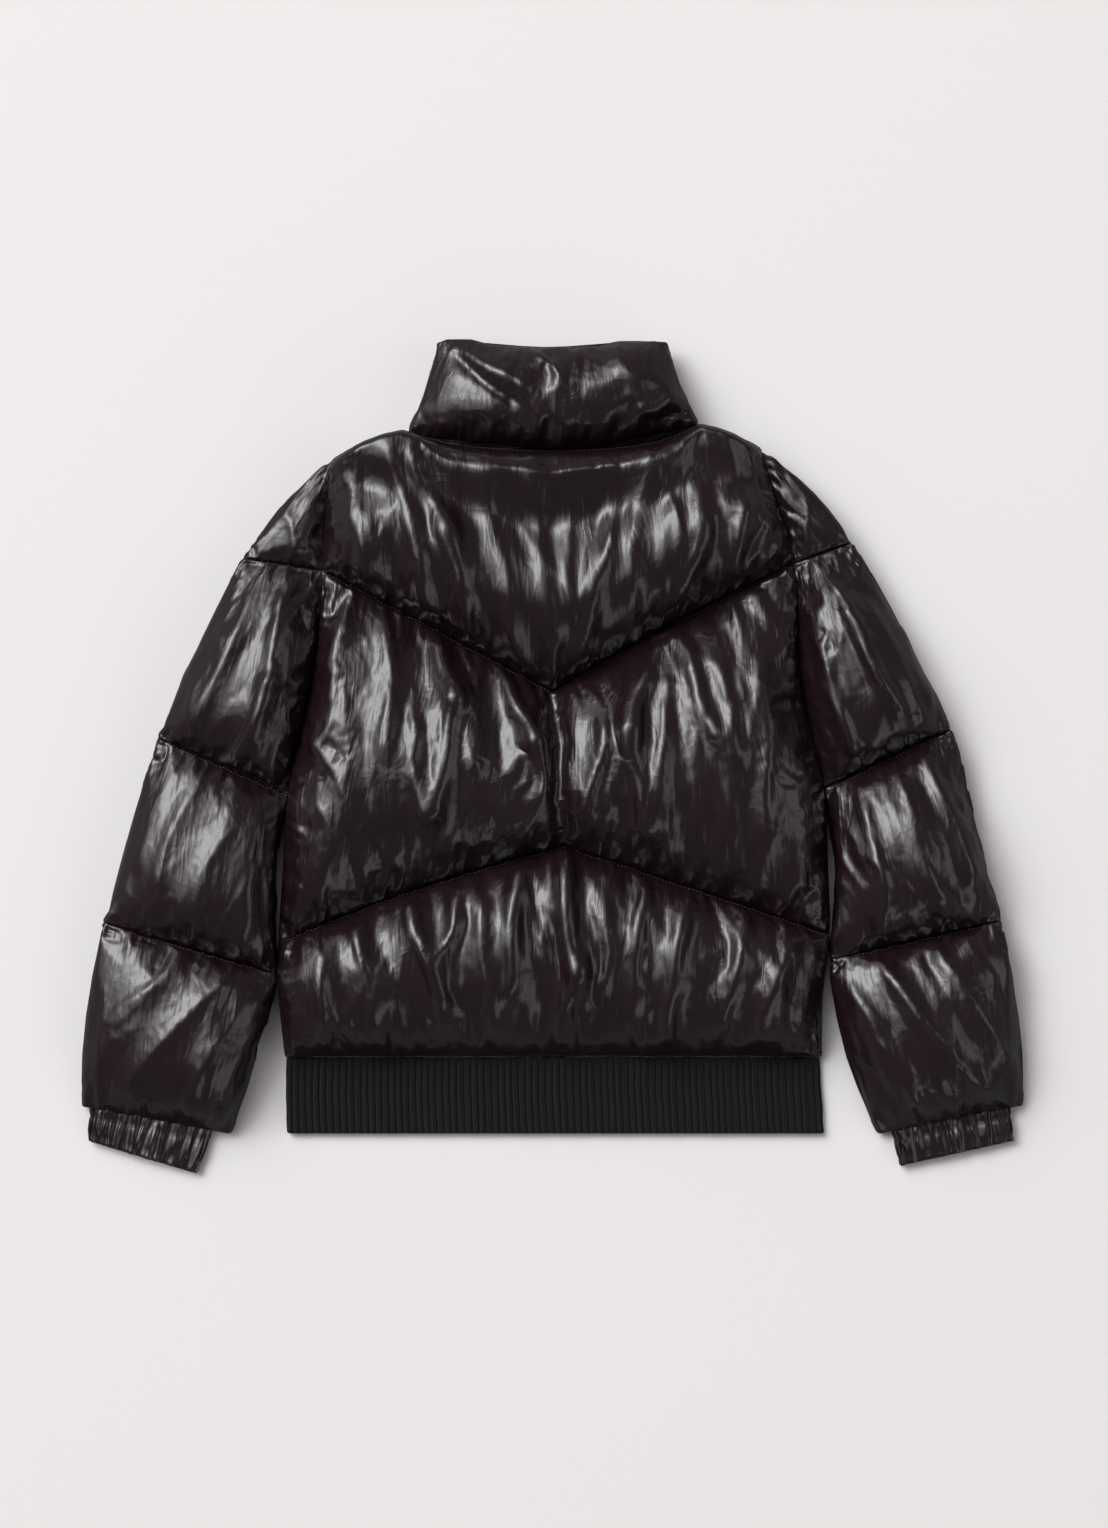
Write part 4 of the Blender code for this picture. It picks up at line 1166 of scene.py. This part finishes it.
ends = [index[:, 0].tolist(), index[::-1, -1].tolist()]
band = link_mesh("hem_band_rib", grid, quads.tolist() + ends)
recalculated(band)
band.data.shade_smooth()
band.data.materials.append(knit_material())
cloth_uv(band, grid, quads, False)
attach(band, "jacket")
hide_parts("hem_band")

# ---- Cuffs --------------------------------------------------------------------------------
# The shell cloth again, unpadded, gathered onto elastic: a short flat tube with uneven
# pleats that comes out of the sleeve's end, open at the wrist.

#   corners seen from above: sleeve end's left and right, wrist's left and right
CUFF_CORNERS = {
    "cuff_left": ((-395, -302), (-293, -321), (-399, -330), (-306, -357)),
    "cuff_right": ((292, -322), (392, -302), (299, -351), (396, -330)),
}
CUFF_WALL = 1.3 * MM
CUFF_RADIUS = 5.2 * MM
CUFF_TUCK = 9 * MM
CUFF_MIDDLE = 6.3 * MM
CUFF_ROWS = 15
CUFF_SAMPLES = 360
CUFF_SEED = 91
PLEATS = 34
PLEAT_HEIGHT = 3.2 * MM
PLEAT_SINK = 1.3 * MM
ELASTIC_WIDTH = 0.07

#          place  pull: of each row of elastic, in shares of the cuff's length and the pleats' height
ELASTIC = ((0.42, 0.35), (0.86, 0.25))


def nearest_point(node, place):
    """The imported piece's own corner nearest to a place seen from above."""
    points = node_points(node)[:, :2]
    return points[((points - np.array(place) * MM) ** 2).sum(axis=1).argmin()]


def pleats(rng, shares, count, down):
    """Uneven pleats round a cuff: crests whose width, height and lean all differ.

    The height, 0..1 or a little over, is the sum of bells at the crests. Each crest starts and
    ends at its own place down the cuff.
    """
    total = np.zeros((len(down), len(shares)))
    for place in (np.arange(count) + rng.uniform(-0.32, 0.32, count)) / count:
        width = rng.uniform(0.20, 0.46) / count
        lean = rng.uniform(-0.6, 0.6) / count
        tall = rng.uniform(0.45, 1.2)
        start, end = rng.uniform(-0.3, 0.25), rng.uniform(0.75, 1.4)
        fade = np.clip((down - start) * 5, 0, 1) * np.clip((end - down) * 5, 0, 1)
        away = (shares[None, :] - place - lean * (down[:, None] - 0.5) + 0.5) % 1.0 - 0.5
        total += tall * fade[:, None] * np.exp(-((away / width) ** 2))
    return total


def cuff_grid(rng, top_left, top_right, low_left, low_right):
    """A cuff's closed wall, from its four corners seen from above: profile by way round.

    The loop is flat: its width follows a cosine, its height a flattened sine.
    """
    shares = np.linspace(0, 1, CUFF_SAMPLES + 1)[:-1]
    # The wall's profile: down its outer face, round the wrist's edge and up its inner face.
    profile_down = np.concatenate([np.linspace(0, 1, CUFF_ROWS), [1.012, 1.012, 0.97, 0.5, 0.0]])
    profile_in = np.concatenate([np.zeros(CUFF_ROWS), [0.3, 0.8, 1.0, 1.0, 1.0]]) * CUFF_WALL
    start = -CUFF_TUCK / np.linalg.norm(low_left - top_left)
    place = start + (1 - start) * profile_down
    lefts = top_left + place[:, None] * (low_left - top_left)
    rights = top_right + place[:, None] * (low_right - top_right)
    across = np.cos(2 * np.pi * shares)
    height = np.sin(2 * np.pi * shares)
    height = np.sign(height) * np.abs(height) ** 0.42
    pull = sum(
        strength * np.exp(-(((profile_down - row) / ELASTIC_WIDTH) ** 2)) for row, strength in ELASTIC
    )[:, None]
    folds_out = pleats(rng, shares, PLEATS, profile_down) * PLEAT_HEIGHT * (1 - pull) - PLEAT_SINK
    level = CUFF_RADIUS * height[None] * (1 - 0.25 * pull)
    outward_z = np.sign(height) * np.abs(height) ** 0.5
    z = CUFF_MIDDLE + level + (folds_out - profile_in[:, None] - 0.4 * MM) * outward_z[None]
    width = (rights - lefts)[:, None]
    middle = (lefts + rights)[:, None] / 2 + width / 2 * across[None, :, None]
    inset = (profile_in[:, None] - folds_out * 0.6)[..., None] * across[None, :, None]
    inset = inset * width / np.linalg.norm(width, axis=-1, keepdims=True)
    return np.concatenate([middle - inset, np.maximum(z, 0.0)[..., None]], axis=-1)


for order, (name, corners) in enumerate(CUFF_CORNERS.items()):
    top_left, top_right, low_left, low_right = (nearest_point(name, corner) for corner in corners)
    rng = np.random.default_rng(CUFF_SEED + order)
    grid = cuff_grid(rng, top_left, top_right, low_left, low_right)
    index = np.arange(grid.shape[0] * grid.shape[1]).reshape(grid.shape[:2])
    around = np.concatenate([index, index[:, :1]], axis=1)
    quads = quads_of(np.concatenate([around, around[:1]]))
    cuff = link_mesh(f"{name}_gathered", grid, quads.tolist())
    recalculated(cuff)
    cuff.data.shade_smooth()
    cuff.data.materials.append(SHELL)
    cloth_uv(cuff, grid, quads, False)
    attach(cuff, "jacket")
    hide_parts(name)

# ---- Zip ------------------------------------------------------------------------------------
# A moulded zip, closed, under the jacket: woven tapes sewn to the fronts, two rows of teeth
# that mesh, and the slider at the collar with its pull hanging down.

TOOTH_PITCH = 3.0 * MM
TAPE_COLOUR = (0.012, 0.011, 0.012)
TOOTH_COLOUR = (0.016, 0.015, 0.015)
METAL_COLOUR = (0.055, 0.052, 0.055)
TAPE_ROWS = 90


def strip_path(node):
    """Y and middle height along a packed strip, from its far end to its near one."""
    points = node_points(node)
    places = np.unique(np.round(points[:, 1], 4))[::-1]
    near = np.abs(points[None, :, 1] - places[:, None]) < 0.1 * MM
    return places, near @ points[:, 2] / near.sum(axis=1)


tape_finish = plain_material("woven zip tape", TAPE_COLOUR, 0.85)
for name in ("zip_tape_left", "zip_tape_right"):
    low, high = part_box(name)
    places, heights = strip_path(name)
    y = np.linspace(places[0], places[-1], TAPE_ROWS)
    z = np.interp(-y, -places, heights)
    across = np.array([low.x, low.x + 0.4 * MM, high.x - 0.4 * MM, high.x])
    thick = np.array([0.3, 0.5, 0.5, 0.3]) * MM
    ring_x = np.concatenate([across, across[::-1]])
    ring_z = np.concatenate([thick, -thick[::-1]])
    grid = np.stack(np.broadcast_arrays(ring_x[None], y[:, None], z[:, None] + ring_z[None]), axis=-1)
    index = np.arange(TAPE_ROWS * len(ring_x)).reshape(TAPE_ROWS, -1)
    quads = grid_faces(*index.shape, True)
    ends = [index[0].tolist(), index[-1, ::-1].tolist()]
    tape = link_mesh(f"{name}_woven", grid, quads.tolist() + ends)
    recalculated(tape)
    tape.data.materials.append(tape_finish)
    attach(tape, "jacket")
    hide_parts(name)


def joined_copies(name, corners, faces, centres, directions):
    """One mesh of many copies of a small part, each at a centre with its own three axes."""
    placed = centres[:, None] + np.einsum("ck,nkj->ncj", corners, directions)
    shift = (np.arange(len(centres)) * len(corners))[:, None, None]
    made = link_mesh(name, placed, (faces[None] + shift).reshape(-1, faces.shape[1]).tolist())
    recalculated(made)
    return made


# Each tooth: a block with a narrower nose that reaches past the middle.
TOOTH = np.array([
    (-2.6, -1.0, -1.2), (0.2, -1.0, -1.2), (0.2, 1.0, -1.2), (-2.6, 1.0, -1.2),
    (-2.6, -1.0, 1.2), (0.2, -1.0, 1.2), (0.2, 1.0, 1.2), (-2.6, 1.0, 1.2),
    (1.0, -0.5, -0.8), (1.0, 0.5, -0.8), (1.0, -0.5, 0.8), (1.0, 0.5, 0.8),
]) * MM * (1.0, 0.7, 1.0)
TOOTH_FACES = np.array([
    (0, 3, 2, 1), (4, 5, 6, 7), (0, 1, 5, 4), (2, 3, 7, 6), (0, 4, 7, 3),
    (1, 2, 9, 8), (5, 10, 11, 6), (1, 8, 10, 5), (2, 6, 11, 9), (8, 9, 11, 10),
])
low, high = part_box("zip_teeth")
places, heights = strip_path("zip_teeth")
count = int((high.y - low.y) / TOOTH_PITCH)
y = high.y - TOOTH_PITCH * (0.5 + np.arange(2 * count) / 2)
flip = np.where(np.arange(2 * count) % 2, 1.0, -1.0)
z = np.interp(-y, -places, heights)
centres = np.column_stack([np.full(2 * count, (low.x + high.x) / 2), y, z])
directions = np.zeros((2 * count, 3, 3))
directions[:, 0, 0] = -flip
directions[:, 1, 1] = 1.0
directions[:, 2, 2] = 1.0
teeth = joined_copies("zip_teeth_row", TOOTH, TOOTH_FACES, centres, directions)
teeth.data.materials.append(plain_material("moulded zip teeth", TOOTH_COLOUR, 0.35))
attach(teeth, "jacket")
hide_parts("zip_teeth")

metal = plain_material("dark plated metal", METAL_COLOUR, 0.28)
metal.node_tree.nodes["Principled BSDF"].inputs["Metallic"].default_value = 0.85
for name in ("zip_slider", "zip_pull"):
    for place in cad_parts[name].material_slots:
        place.material = metal

# ---- Topstitching -----------------------------------------------------------------------------
# Dark polyester thread: one row just below each quilting seam and the collar's seam, and one
# just above the hem band.

STITCH_LENGTH = 3.4 * MM
THREAD_RADIUS = 0.28 * MM
THREAD_COLOUR = (0.045, 0.034, 0.035)
STITCH_AWAY = 4.2 * MM
HALF_SHOWING = 0.38

#   place  width  lift: of the rings along one stitch, in its half lengths and radii
STITCH_RINGS = (
    (-1.0, 0.35, -0.5),
    (-0.6, 0.9, 0.3),
    (0.0, 1.0, 0.6),
    (0.6, 0.9, 0.3),
    (1.0, 0.35, -0.5),
)


def stitch_row(name, path, normals):
    """A row of short thread ends along a path, each sunk at both ends."""
    along = running(np.linalg.norm(np.diff(path, axis=0), axis=1))
    places = np.arange(0.5 * STITCH_LENGTH, along[-1], STITCH_LENGTH)
    centres = along_line(places, along, path)
    way = along_line(places + 0.5 * MM, along, path) - centres
    way /= np.maximum(np.linalg.norm(way, axis=1, keepdims=True), 1e-9)
    up = along_line(places, along, normals)
    side = np.cross(up, way)
    side /= np.maximum(np.linalg.norm(side, axis=1, keepdims=True), 1e-9)
    up = np.cross(way, side)
    place, wide, lift = (column[:, None] for column in np.array(STITCH_RINGS).T)
    turn = np.arange(6) * np.pi / 3
    corners = np.stack(np.broadcast_arrays(
        place * HALF_SHOWING * STITCH_LENGTH,
        wide * THREAD_RADIUS * np.cos(turn),
        (wide * np.sin(turn) + lift) * THREAD_RADIUS,
    ), axis=-1).reshape(-1, 3)
    caps = np.array([(0, 5, 4, 3), (3, 2, 1, 0), (24, 25, 26, 27), (27, 28, 29, 24)])
    faces = np.vstack([grid_faces(len(STITCH_RINGS), 6, True)[:, ::-1], caps])
    return joined_copies(name, corners, faces, centres, np.stack([way, side, up], axis=1))


def seam_rows(grid, wrapped, which, away):
    """A line on a skin at a distance from its top or bottom seam, and the normals there."""
    way = 1 if which == "top" else -1
    rows, normals = grid[::way], outward(grid, wrapped)[::way]
    steps = np.linalg.norm(np.diff(rows, axis=0), axis=-1)
    along = np.concatenate([np.zeros((1, rows.shape[1])), np.cumsum(steps, axis=0)])
    below = np.argmax(along >= away, axis=0)
    column = np.arange(rows.shape[1])
    before = along[below - 1, column]
    share = (away - before) / np.maximum(along[below, column] - before, 1e-9)
    line = rows[below - 1, column] + share[:, None] * (rows[below, column] - rows[below - 1, column])
    return line, normals[below, column]


thread = plain_material("polyester thread", THREAD_COLOUR, 0.3)
UNSTITCHED = ("front", "sleeve_left_cap", "sleeve_right_cap", "collar")
for name, grid, wrapped in stitched:
    if name.startswith(UNSTITCHED):
        continue
    for which in ("top", "bottom") if name == "back_lower_skin" else ("top",):
        line, normals = seam_rows(grid, wrapped, which, STITCH_AWAY)
        if wrapped:
            line, normals = np.vstack([line, line[:1]]), np.vstack([normals, normals[:1]])
        row = stitch_row(f"{name[:-5]}_stitches_{which}", line, normals)
        row.data.shade_smooth()
        row.data.materials.append(thread)
        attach(row, "jacket")
